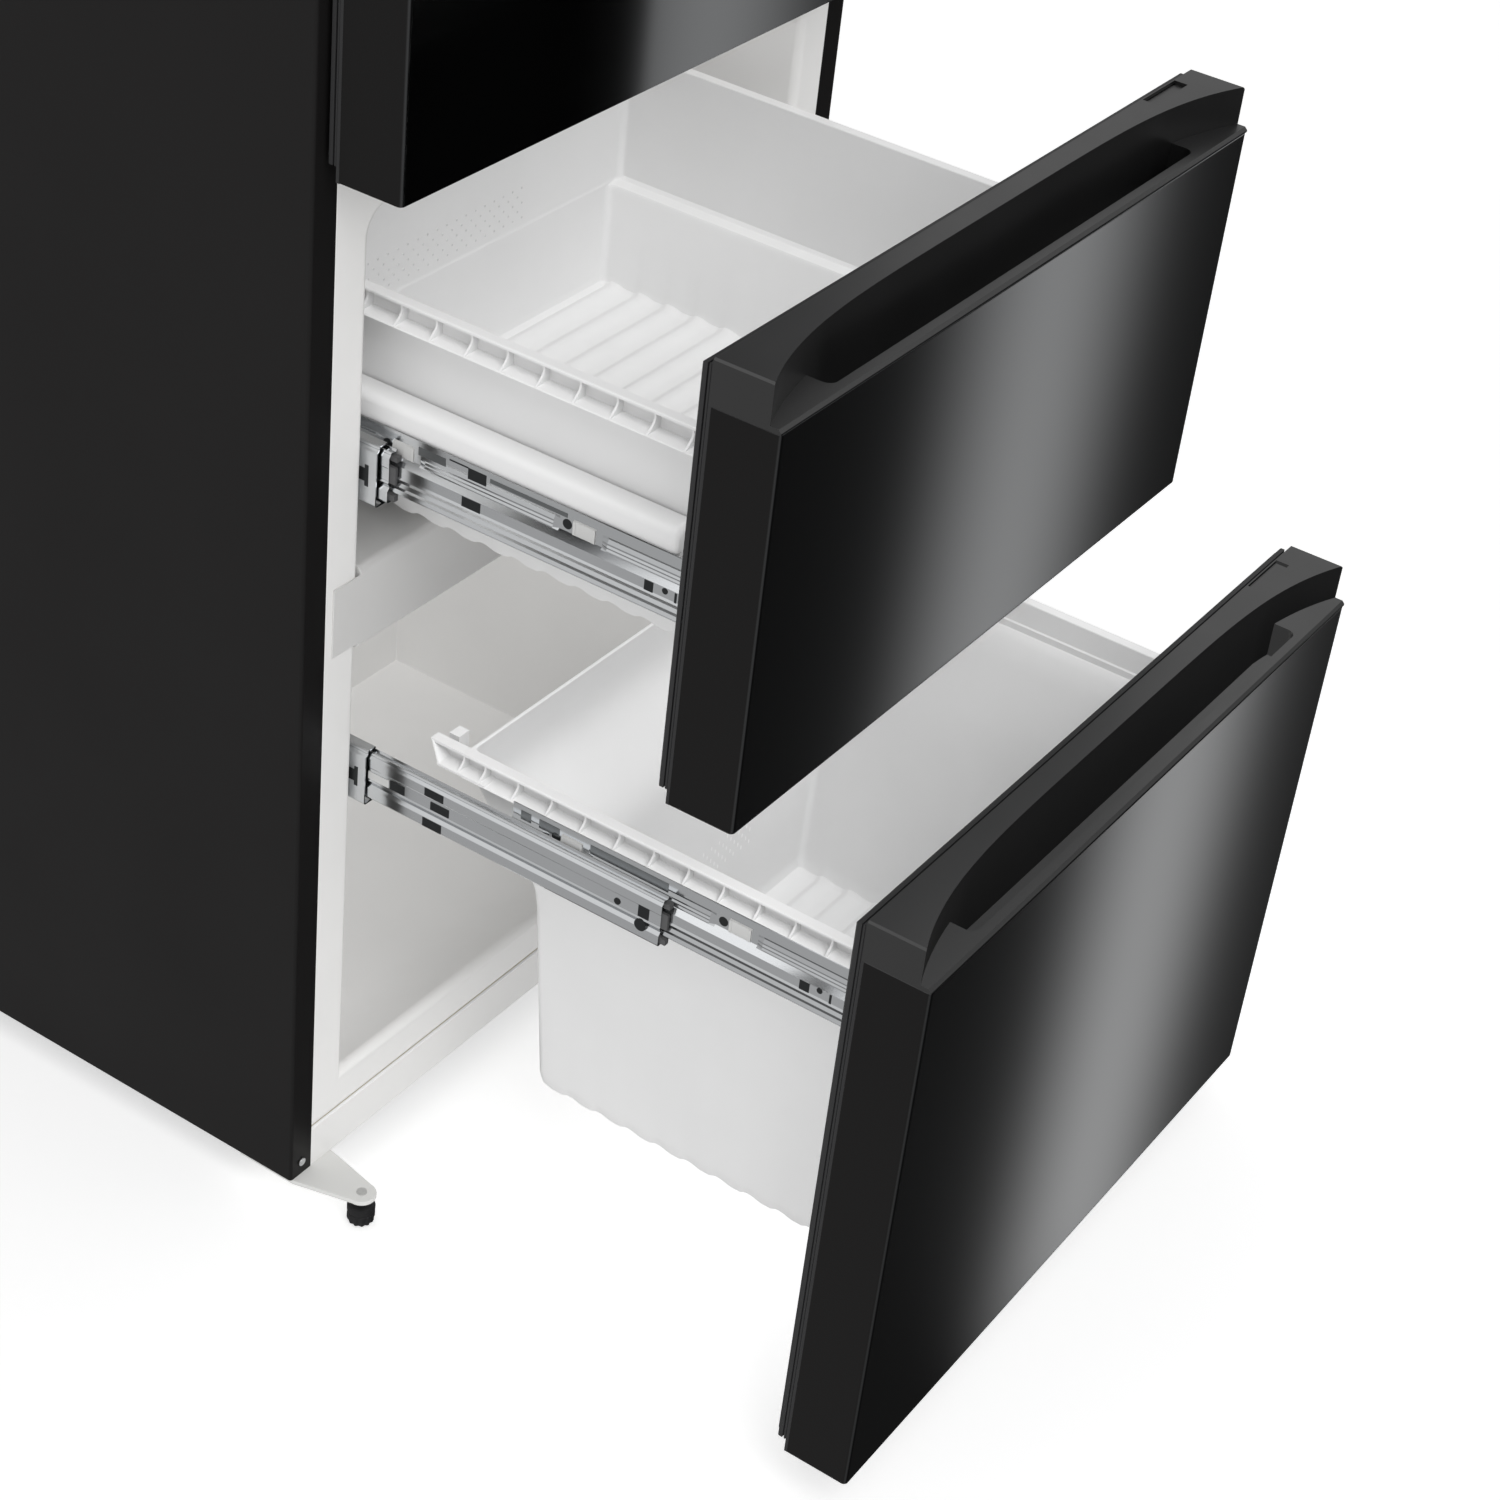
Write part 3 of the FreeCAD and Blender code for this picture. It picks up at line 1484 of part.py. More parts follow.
def evaporator():
    """Evaporator and its fan behind the slotted cover at the back of the freezer."""
    plate = box(
        "evaporator_plate",
        ("-freezer_half", "freezer_half"),
        ("cover_face", "cover_face + cover_sheet"),
        ("hump_top", "freezer_ceiling - freezer_round"),
    )
    slots = []
    for number in range(int(value("cover_slot_count"))):
        low = f"cover_slot_lowest + {number} * cover_slot_pitch"
        slots.append(
            box(
                f"cover_slot_{number}",
                ("-cover_slot_half", "cover_slot_half"),
                ("cover_face - cut_past", "cover_face + cover_sheet + cut_past"),
                (low, f"{low} + cover_slot_height"),
            )
        )
    piece(cut("evaporator_cover", plate, *slots))
    tubes = []
    for share in ("1 / 5", "2 / 5", "3 / 5", "4 / 5"):
        tubes.append(("freezer_back - evaporator_depth / 2", f"evaporator_low + evaporator_height * {share}"))
    finned_coil(
        "evaporator_coil",
        ("-evaporator_half", "evaporator_half"),
        ("freezer_back - evaporator_depth", "freezer_back"),
        ("evaporator_low", "evaporator_low + evaporator_height"),
        "evaporator_pitch",
        tubes,
    )
    can = cylinder(
        "evaporator_motor_can",
        "y",
        (0, "freezer_back - evaporator_motor", "evaporator_fan_height"),
        "evaporator_motor_radius",
        "evaporator_motor",
    )
    shaft = cylinder(
        "evaporator_shaft",
        "y",
        (0, "freezer_back - evaporator_motor - shaft_reach + hub_gap", "evaporator_fan_height"),
        "shaft_radius",
        "shaft_reach",
    )
    piece(fuse("evaporator_fan_motor", can, shaft))
    fan(
        "evaporator_fan_wheel",
        "y",
        (0, "freezer_back - evaporator_motor - hub_gap / 2 - hub_length", "evaporator_fan_height"),
        Y_AXIS,
    )


# Screws


def screws():
    """Screw heads on the shell's front flanges and on the middle hinge."""
    heads = []
    flange_middle = "(half_width + frame_half) / 2"
    for name, start in (
        ("flange_left", (f"-({flange_middle})", "-screw_height", "flange_screw_height")),
        ("flange_right", (flange_middle, "-screw_height", "flange_screw_height")),
        (
            "hinge_inner",
            (
                "pivot_x + hinge_inset - hinge_width + screw_margin",
                "-hinge_plate - screw_height",
                "mid_hinge_low + hinge_foot - screw_head - pin_slack",
            ),
        ),
    ):
        heads.append(cylinder(f"screw_{name}", "y", start, "screw_head", "screw_height"))
    piece(group("screws", *heads))


def check_document():
    """Stop if any object failed or any piece is not a sound solid."""
    doc.recompute()
    for item in doc.Objects:
        if "Invalid" in item.State or "Error" in item.State:
            raise RuntimeError(f"{item.Name} failed: {item.State}")
    for item in pieces:
        shape = item.Shape
        if shape.isNull() or not shape.isValid() or not shape.Solids:
            raise RuntimeError(f"{item.Label} is not a sound solid")


def write_pieces():
    """Write each piece under its own name."""
    os.makedirs("parts", exist_ok=True)
    for item in pieces:
        item.Shape.exportStep(f"parts/{item.Label}.step")
    print(len(pieces), "pieces")


fill_sheet()
outer_shell()
freezer_outside = freezer_liner()
mullion()
fridge_outside = fridge_liner()
cabinet_foam(freezer_outside, fridge_outside)
cabinet_sheets()
fridge_fittings()
drawer_front(
    "upper",
    "mullion_high - seal_overlap",
    "freezer_ceiling + gasket_width + frame_round",
    "mullion_high + plateau_margin",
    "freezer_ceiling - plateau_margin",
)
drawer_front(
    "lower",
    "sill_top - gasket_width - frame_round",
    "mullion_low + seal_overlap",
    "sill_top + plateau_margin",
    "mullion_low - plateau_margin",
)
fridge_door()
door_hinges()
for drawer_name in ("upper", "lower"):
    slide(drawer_name)
baskets()
side_bars()
foot_brackets()
for side_name, side_sign in (("left", "-"), ("right", "+")):
    levelling_foot(side_name, side_sign)
roller_set()
machine_room()
evaporator()
screws()
check_document()
write_pieces()
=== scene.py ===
# Looks of a fridge freezer whose two freezer drawers stand open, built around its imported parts.
# Lengths are in millimetres. The floor, the lights and the camera are placed in metres.

import json
import math

import bmesh
import bpy
from mathutils import Matrix, Vector

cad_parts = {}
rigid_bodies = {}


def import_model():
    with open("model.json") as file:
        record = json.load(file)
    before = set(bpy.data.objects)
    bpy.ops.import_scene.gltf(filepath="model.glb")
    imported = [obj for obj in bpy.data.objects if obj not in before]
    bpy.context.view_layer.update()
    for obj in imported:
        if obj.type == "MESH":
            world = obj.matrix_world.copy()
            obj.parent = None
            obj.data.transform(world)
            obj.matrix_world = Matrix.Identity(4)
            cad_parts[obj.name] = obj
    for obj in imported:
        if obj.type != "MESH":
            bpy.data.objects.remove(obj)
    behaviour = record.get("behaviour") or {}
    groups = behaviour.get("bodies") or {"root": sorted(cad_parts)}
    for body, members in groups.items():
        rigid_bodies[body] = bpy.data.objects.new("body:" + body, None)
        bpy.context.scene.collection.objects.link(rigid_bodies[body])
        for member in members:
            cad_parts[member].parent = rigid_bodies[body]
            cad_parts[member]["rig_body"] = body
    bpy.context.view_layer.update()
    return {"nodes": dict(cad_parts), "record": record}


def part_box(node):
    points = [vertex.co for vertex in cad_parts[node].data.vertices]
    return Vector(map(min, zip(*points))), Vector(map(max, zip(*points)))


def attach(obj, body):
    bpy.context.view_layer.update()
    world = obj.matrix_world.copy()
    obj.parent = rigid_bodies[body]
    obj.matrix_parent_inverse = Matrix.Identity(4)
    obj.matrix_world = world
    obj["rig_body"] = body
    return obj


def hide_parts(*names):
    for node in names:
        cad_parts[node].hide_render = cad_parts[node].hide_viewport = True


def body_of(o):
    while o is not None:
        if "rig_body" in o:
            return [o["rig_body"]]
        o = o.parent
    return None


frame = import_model()
nodes = frame["nodes"]
MM = 0.001


# Finishes

NOISE_LIMITS = (0.3, 0.7)
TINT_LIMITS = (0.35, 0.65)
SIDE_LIMITS = (0.6, 0.9)
STEEL_TONE = (0.13, 0.133, 0.136)
# Painted shade: the darker colour given to the folded sides of the black steel, on faces that look left or
# right.
STEEL_SIDE_PAINTED_SHADE = (0.034, 0.033, 0.033)
COAT_SPECULAR = 0.2
COAT_SPREAD = 0.05
PLASTIC_DARKER = 0.985
PLASTIC_LIGHTER = 1.01
PLASTIC_SPREAD = 0.04
METAL_SMOOTHER = 0.01
METAL_ROUGHER = 0.015
CLEAR_SHARE = 0.92
CLEAR_BENDING = 1.45


def map_range(tree, source_limits, limits):
    """A node that carries a value from one pair of limits over to another."""
    made = tree.nodes.new("ShaderNodeMapRange")
    for socket, value in zip(("From Min", "From Max", "To Min", "To Max"), (*source_limits, *limits)):
        made.inputs[socket].default_value = value
    return made


class Finish:
    """A material set by plain values and by fine noise in the piece's own frame."""

    def __init__(self, name, colour, roughness, metallic=0.0):
        self.material = bpy.data.materials.new(name)
        self.material.use_nodes = True
        self.tree = self.material.node_tree
        self.shader = self.tree.nodes["Principled BSDF"]
        self.set("Base Color", (*colour, 1.0))
        self.set("Roughness", roughness)
        self.set("Metallic", metallic)

    def set(self, socket, value):
        self.shader.inputs[socket].default_value = value

    def node(self, kind, **values):
        made = self.tree.nodes.new(kind)
        for socket, value in values.items():
            made.inputs[socket].default_value = value
        return made

    def link(self, source, target):
        self.tree.links.new(source, target)

    def noise(self, per_metre, stretch=(1.0, 1.0, 1.0), detail=3.0):
        """Noise with that many cells to the metre, drawn out along an axis by a small stretch."""
        place = self.node("ShaderNodeTexCoord")
        mapping = self.node("ShaderNodeMapping", Scale=stretch)
        texture = self.node("ShaderNodeTexNoise", Scale=per_metre, Detail=detail)
        self.link(place.outputs["Object"], mapping.inputs["Vector"])
        self.link(mapping.outputs["Vector"], texture.inputs["Vector"])
        return texture.outputs["Fac"]

    def spread(self, source, low, high):
        """Lets a noise move the roughness between two limits."""
        limits = map_range(self.tree, NOISE_LIMITS, (low, high))
        self.link(source, limits.inputs["Value"])
        self.link(limits.outputs["Result"], self.shader.inputs["Roughness"])

    def tint(self, source, low, high):
        """Lets a noise move the colour between two close tones."""
        ramp = self.node("ShaderNodeValToRGB")
        for element, place, tone in zip(ramp.color_ramp.elements, TINT_LIMITS, (low, high)):
            element.position = place
            element.color = (*tone, 1.0)
        self.link(source, ramp.inputs["Fac"])
        self.link(ramp.outputs["Color"], self.shader.inputs["Base Color"])

    def grain(self, source, depth, strength=1.0):
        """Raises the surface by a noise, and returns the bump node."""
        bump = self.node("ShaderNodeBump", Strength=strength, Distance=depth * MM)
        self.link(source, bump.inputs["Height"])
        self.link(bump.outputs["Normal"], self.shader.inputs["Normal"])
        return bump

    def sidewise(self, low, high):
        """A value that moves from low to high on faces that look left or right, such as a folded edge."""
        place = self.node("ShaderNodeTexCoord")
        parts = self.node("ShaderNodeSeparateXYZ")
        size = self.node("ShaderNodeMath")
        size.operation = "ABSOLUTE"
        limits = map_range(self.tree, SIDE_LIMITS, (low, high))
        self.link(place.outputs["Normal"], parts.inputs["Vector"])
        self.link(parts.outputs["X"], size.inputs[0])
        self.link(size.outputs["Value"], limits.inputs["Value"])
        return limits.outputs["Result"]


def black_steel_finish():
    """Dark glossy steel that is duller and finely grained on its folded sides, and darker there as a
    painted shade on faces that look left or right.
    """
    finish = Finish("black_steel", STEEL_TONE, 0.2, 1.0)
    bump = finish.grain(finish.noise(per_metre=650.0, detail=2.0), depth=0.25)
    finish.link(finish.sidewise(0.0, 0.6), bump.inputs["Strength"])
    finish.link(finish.sidewise(0.1, 0.5), finish.shader.inputs["Roughness"])
    # Painted shade: the base colour turns darker on faces that look left or right, such as the folded
    # sides.
    ramp = finish.node("ShaderNodeValToRGB")
    ramp.color_ramp.elements[0].color = (*STEEL_TONE, 1.0)
    ramp.color_ramp.elements[1].color = (*STEEL_SIDE_PAINTED_SHADE, 1.0)
    finish.link(finish.sidewise(0.0, 1.0), ramp.inputs["Fac"])
    finish.link(ramp.outputs["Color"], finish.shader.inputs["Base Color"])
    return finish


def coated_finish(name, colour, roughness, grain_depth):
    """Matte coating with a fine skin."""
    finish = Finish(name, colour, roughness)
    finish.set("Specular IOR Level", COAT_SPECULAR)
    finish.grain(finish.noise(per_metre=420.0), grain_depth, strength=0.5)
    finish.spread(finish.noise(per_metre=6.0), roughness - COAT_SPREAD, roughness + COAT_SPREAD)
    return finish


def plastic_finish(name, colour, roughness, grain_depth=0.0):
    """Moulded plastic with a faint unevenness in tone and gloss."""
    finish = Finish(name, colour, roughness)
    darker = [PLASTIC_DARKER * part for part in colour]
    lighter = [PLASTIC_LIGHTER * part for part in colour]
    finish.tint(finish.noise(per_metre=9.0), darker, lighter)
    finish.spread(finish.noise(per_metre=14.0), roughness - PLASTIC_SPREAD, roughness + PLASTIC_SPREAD)
    if grain_depth:
        finish.grain(finish.noise(per_metre=800.0, detail=2.0), grain_depth, strength=0.6)
    return finish


def metal_finish(name, colour, roughness, stretch=(1.0, 1.0, 1.0)):
    """Bare metal with faint streaks, drawn out where a stretch is given."""
    finish = Finish(name, colour, roughness, 1.0)
    streaks = finish.noise(per_metre=160.0, stretch=stretch)
    finish.spread(streaks, roughness - METAL_SMOOTHER, roughness + METAL_ROUGHER)
    return finish


def clear_finish(name, colour, roughness):
    """See-through plastic or glass."""
    finish = Finish(name, colour, roughness)
    finish.set("Transmission Weight", CLEAR_SHARE)
    finish.set("IOR", CLEAR_BENDING)
    return finish


FINISHES = {
    "black_cabinet": coated_finish("black_cabinet", (0.0105, 0.0098, 0.0098), 0.5, 0.06),
    "black_steel": black_steel_finish(),
    "black_plastic": plastic_finish("black_plastic", (0.0115, 0.0115, 0.0118), 0.38, 0.035),
    "white_plastic": plastic_finish("white_plastic", (0.84, 0.84, 0.84), 0.32),
    "gasket_rubber": plastic_finish("gasket_rubber", (0.022, 0.022, 0.023), 0.55),
    "zinc_steel": metal_finish("zinc_steel", (0.66, 0.675, 0.69), 0.15, (1.0, 0.04, 1.0)),
    "shelf_glass": clear_finish("shelf_glass", (0.86, 0.95, 0.91), 0.02),
    "clear_plastic": clear_finish("clear_plastic", (0.93, 0.95, 0.97), 0.08),
    "foam": plastic_finish("foam", (0.78, 0.72, 0.58), 0.85, 0.3),
    "coil_aluminium": metal_finish("coil_aluminium", (0.78, 0.79, 0.80), 0.35),
    "machine_black": coated_finish("machine_black", (0.02, 0.02, 0.021), 0.45, 0.05),
}
TRIM_BLACK = plastic_finish("trim_black", (0.008, 0.008, 0.0082), 0.36, 0.035)
TRIM_BLACK.set("Specular IOR Level", 0.85)
LINER_WHITE = plastic_finish("liner_white", (0.80, 0.795, 0.785), 0.42)
FOOT_GREY = coated_finish("foot_grey", (0.63, 0.63, 0.615), 0.6, 0.05)
# Painted light: plugs brighter than the basket, standing for the bright room seen through the lower vent
# holes.
PAINTED_LIGHT_VENT = plastic_finish("painted_light_vent", (0.98, 0.98, 0.98), 0.5)
# Painted shade: grey plugs standing for the shade behind the upper vent holes.
PAINTED_SHADE_VENT = plastic_finish("painted_shade_vent", (0.7, 0.7, 0.7), 0.5)
# Painted shade: dark plates and discs that stand for the shade seen in the rails' openings.
PAINTED_SHADE_STEEL = metal_finish("painted_shade_steel", (0.055, 0.058, 0.06), 0.4)
# Painted shade: grey strips on the inner rails where they lie in the shade under the middle rails' lip.
PAINTED_SHADE_GREY = metal_finish("painted_shade_grey", (0.24, 0.25, 0.255), 0.3)
CAGE_GREY = plastic_finish("cage_grey", (0.1, 0.1, 0.102), 0.45)
CLIP_WHITE = plastic_finish("clip_white", (0.72, 0.72, 0.71), 0.45)


# Meshes from points

def turn(sides):
    """Angles of equal steps once round."""
    return [2 * math.pi * side / sides for side in range(sides)]


class Form:
    """Points in millimetres and faces, gathered from simple closed shapes."""

    def __init__(self):
        self.points = []
        self.faces = []

    def add(self, points, faces):
        start = len(self.points)
        self.points.extend(points)
        self.faces.extend([tuple(start + corner for corner in face) for face in faces])

    def loft(self, rings, ends=True, looped=False):
        """Joins closed rings of equally many points, one to the next."""
        count = len(rings[0])
        points = [point for ring in rings for point in ring]
        faces = []
        steps = len(rings) if looped else len(rings) - 1
        for step in range(steps):
            here = step * count
            there = (step + 1) % len(rings) * count
            for corner in range(count):
                after = (corner + 1) % count
                faces.append((here + corner, here + after, there + after, there + corner))
        if ends and not looped:
            faces.append(tuple(range(count)))
            faces.append(tuple(range(len(points) - count, len(points))))
        self.add(points, faces)

    def along_depth(self, outline, front, back):
        """A bar with one outline in x and z from front to back."""
        self.loft([[(x, y, z) for x, z in outline] for y in (front, back)])

    def box(self, low, high):
        outline = [(low[0], low[2]), (high[0], low[2]), (high[0], high[2]), (low[0], high[2])]
        self.along_depth(outline, low[1], high[1])

    def turned(self, centre, levels, sides=48, flutes=0):
        """A round body about an upright line, from (radius, height, flute depth) levels."""
        rings = []
        for radius, height, depth in levels:
            ring = []
            for angle in turn(sides):
                reach = radius - depth * (1 + math.cos(flutes * angle)) / 2
                ring.append((centre[0] + reach * math.cos(angle),
                             centre[1] + reach * math.sin(angle), height))
            rings.append(ring)
        self.loft(rings)

    def disc(self, outer, inner, depth, height, radius, sides=24):
        """A short round stud that points sideways."""
        self.loft([[(x, depth + radius * math.cos(angle), height + radius * math.sin(angle))
                    for angle in turn(sides)] for x in (outer, inner)])

    def mirror(self):
        """Adds the same shapes on the other side of the middle plane."""
        faces = list(self.faces)
        self.add([(-x, y, z) for x, y, z in self.points], faces)


def make_piece(name, form, finish, body, covers=(), sharp_degrees=32.0):
    """Turns a form into a piece that rides on a body and stands for the parts it covers."""
    mesh = bpy.data.meshes.new(name)
    mesh.from_pydata([Vector(point) * MM for point in form.points], [], form.faces)
    shape = bmesh.new()
    shape.from_mesh(mesh)
    bmesh.ops.recalc_face_normals(shape, faces=shape.faces)
    shape.to_mesh(mesh)
    shape.free()
    mesh.polygons.foreach_set("use_smooth", [True] * len(mesh.polygons))
    mesh.set_sharp_from_angle(angle=math.radians(sharp_degrees))
    mesh.materials.append(finish.material)
    piece = bpy.data.objects.new(name, mesh)
    bpy.context.scene.collection.objects.link(piece)
    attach(piece, body)
    if covers:
        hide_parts(*covers)
    return piece


def sheet_outline(line, thickness):
    """The closed outline of a bent sheet: its line, then the same line moved to its right."""
    inner = []
    for place, point in enumerate(line):
        before = Vector(line[max(place - 1, 0)])
        after = Vector(line[min(place + 1, len(line) - 1)])
        along = (after - before).normalized()
        inner.append((point[0] + along.y * thickness, point[1] - along.x * thickness))
    return list(line) + inner[::-1]


def millimetres(node):
    """A part's low and high corners in millimetres."""
    low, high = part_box(node)
    return low / MM, high / MM


# Finishes and softened edges of the parts that keep their packed form

EDGE_ROUNDS = {
    "outer_shell": 0.8, "freezer_liner": 0.8, "fridge_liner": 0.8, "freezer_mullion": 0.8,
    "kick_strip": 0.8, "door_skin": 1.2, "upper_drawer_skin": 1.2, "lower_drawer_skin": 1.2,
    "foot_brackets": 0.7, "crisper_drawers": 2.0, "door_bins": 2.0, "glass_shelves": 0.8,
    "hinge_cover": 2.0, "evaporator_cover": 2.0, "lamp_cover": 1.5, "compressor": 2.0, "drip_tray": 1.0,
}
COMMON_ROUND = 0.5
ROUND_STEPS = 2
WELD = 0.01
FLAT_ANGLE = math.radians(0.5)
ROUNDED_ANGLE = math.radians(38.0)
OPENED_PARTS = ("upper_drawer_skin", "lower_drawer_skin")
SPECIAL_FINISHES = {
    "freezer_liner": LINER_WHITE, "fridge_liner": LINER_WHITE, "freezer_mullion": LINER_WHITE,
    "kick_strip": LINER_WHITE, "evaporator_cover": LINER_WHITE, "foot_brackets": FOOT_GREY,
}


def soften(part, width, joins_flats):
    """Rounds the sharp edges of a part, and first joins its flat triangles where they have no openings."""
    weld = part.modifiers.new("weld", "WELD")
    weld.merge_threshold = WELD * MM
    if joins_flats:
        flat = part.modifiers.new("flat", "DECIMATE")
        flat.decimate_type = "DISSOLVE"
        flat.angle_limit = FLAT_ANGLE
    bevel = part.modifiers.new("round", "BEVEL")
    bevel.width = width * MM
    bevel.segments = ROUND_STEPS
    bevel.limit_method = "ANGLE"
    bevel.angle_limit = ROUNDED_ANGLE
    bevel.use_clamp_overlap = True
    normals = part.modifiers.new("normals", "WEIGHTED_NORMAL")
    normals.keep_sharp = True
    part.data.polygons.foreach_set("use_smooth", [True] * len(part.data.polygons))


slot_of = {part["node"]: part["material_slot"] for part in frame["record"]["subparts"]}
for node_name, part in nodes.items():
    finish = SPECIAL_FINISHES.get(node_name, FINISHES[slot_of[node_name]])
    part.data.materials.clear()
    part.data.materials.append(finish.material)
    if slot_of[node_name] != "foam":
        soften(part, EDGE_ROUNDS.get(node_name, COMMON_ROUND), node_name not in OPENED_PARTS)


# Baskets

CORNER_STEPS = 6
QUARTER_ANGLES = [math.pi / 2 * step / CORNER_STEPS for step in range(CORNER_STEPS + 1)]
SIDE_STEPS = 168
BASKET_WALL = 2.5
CORNER_ROUND = 7.0
FLOOR_ROUND = 8.0
FLOOR_SHARES = (1.0, 0.3)
FLOOR_CORNER_SHARE = 0.6
FLOOR_LIFT_SHARE = 0.43
UNDER_DROP = 1.0
UNDER_CORNER = 2.0
WAVE_PITCH = 31.0
WAVE_HEIGHT = 2.6
WAVE_RISE = 0.45
WAVE_FALL_START = 0.55
WAVE_FALL = 0.22
RIM_TOP_REACH = 8.0
RIM_FRONT_REACH = 3.0
RIM_EDGE = 0.7
RIM_TAIL_START = 26.0
FLANGE_RADIUS = 7.0
RIM_SHEET = 1.8
TAIL_INSET = 0.2
RIM_LIP = 2.4
LIP_SHEET = 1.2
GUSSET_PITCH = 33.0
GUSSET_SHEET = 1.8
GUSSET_STEPS = 6
GUSSET_OVERLAP = 0.5
GUSSET_HOLLOW = 3.0


def smooth_step(value):
    limited = min(max(value, 0.0), 1.0)
    return limited * limited * (3 - 2 * limited)


def wave(depth, start):
    """Height of the corrugated floor at a depth, counted from the place where a wave starts."""
    phase = (depth - start) / WAVE_PITCH % 1.0
    rise = smooth_step(phase / WAVE_RISE)
    fall = smooth_step((phase - WAVE_FALL_START) / WAVE_FALL)
    return WAVE_HEIGHT * (rise - fall)


def arc(centre, radius, start_degrees, end_degrees):
    points = []
    for step in range(CORNER_STEPS + 1):
        angle = math.radians(start_degrees + (end_degrees - start_degrees) * step / CORNER_STEPS)
        points.append((centre[0] + radius * math.cos(angle), centre[1] + radius * math.sin(angle)))
    return points


def basket_ring(half, front, back, radius, height, waviness, wave_start):
    """Points round a basket at one level, in plan from the front left corner by the left side."""
    left = -half + radius
    right = half - radius
    near = front + radius
    far = back - radius
    steps = [near + (far - near) * step / SIDE_STEPS for step in range(1, SIDE_STEPS)]
    plan = arc((left, near), radius, 270, 180)
    plan += [(-half, y) for y in steps]
    plan += arc((left, far), radius, 180, 90)
    plan += arc((right, far), radius, 90, 0)
    plan += [(half, y) for y in steps[::-1]]
    plan += arc((right, near), radius, 0, -90)
    return [(x, y, height + waviness * wave(y, wave_start)) for x, y in plan]


def floor_faces(start):
    """Faces that close a ring from side to side."""
    left = start + CORNER_STEPS
    rear_left = left + SIDE_STEPS
    rear_right = rear_left + CORNER_STEPS + 1
    right = rear_right + CORNER_STEPS + SIDE_STEPS
    faces = [(left + i, left + i + 1, right - i - 1, right - i) for i in range(SIDE_STEPS)]
    corner = range(CORNER_STEPS + 1)
    faces.append(tuple([right + i for i in corner] + [start + i for i in corner]))
    faces.append(tuple([rear_left + i for i in corner] + [rear_right + i for i in corner]))
    return faces


def gusset(form, wall, depth, rim, drop, reach_top, reach_low):
    """A thin upright web with a hollow edge between the two flanges of a rim."""
    top = rim - RIM_SHEET / 2
    low = rim - drop + RIM_SHEET / 2
    outline = [(-wall + GUSSET_OVERLAP, low), (-wall + GUSSET_OVERLAP, top)]
    for step in range(GUSSET_STEPS + 1):
        share = step / GUSSET_STEPS
        reach = reach_top + (reach_low - reach_top) * share * share
        hollow = GUSSET_HOLLOW * math.sin(math.pi * share)
        outline.append((-wall - reach + hollow, top + (low - top) * share))
    form.along_depth(outline, depth - GUSSET_SHEET / 2, depth + GUSSET_SHEET / 2)


def rim_tail(form, half, back, rim, drop, low_reach, tail, lean):
    """The end of a side rim behind the rear wall: flanges, the wall between them and a leaning end web."""
    outer = half + BASKET_WALL - TAIL_INSET
    top = rim - TAIL_INSET
    low = rim - drop + TAIL_INSET
    start = back - RIM_TAIL_START

    def end(height):
        return back + tail - lean * (rim - height) / drop

    def slab(inner_x, outer_x, under, over):
        corners = [(-inner_x, under), (-inner_x, over), (-outer_x, over), (-outer_x, under)]
        form.loft([[(x, start, z) for x, z in corners], [(x, end(z), z) for x, z in corners]])

    inner = half + TAIL_INSET
    slab(inner, outer + RIM_TOP_REACH, top - RIM_SHEET, top)
    slab(outer + RIM_TOP_REACH - LIP_SHEET, outer + RIM_TOP_REACH, top - RIM_LIP, top - RIM_SHEET)
    slab(inner, outer + low_reach, low, low + RIM_SHEET)
    slab(inner, outer, low + RIM_SHEET, top - RIM_SHEET)
    web_low = low + TAIL_INSET
    web_top = top - TAIL_INSET
    web = [(-inner - TAIL_INSET, web_low), (-inner - TAIL_INSET, web_top),
           (-outer - RIM_TOP_REACH + TAIL_INSET, web_top), (-outer - low_reach + TAIL_INSET, web_low)]
    form.loft([[(x, end(z) - GUSSET_SHEET, z) for x, z in web],
               [(x, end(z) - TAIL_INSET, z) for x, z in web]])


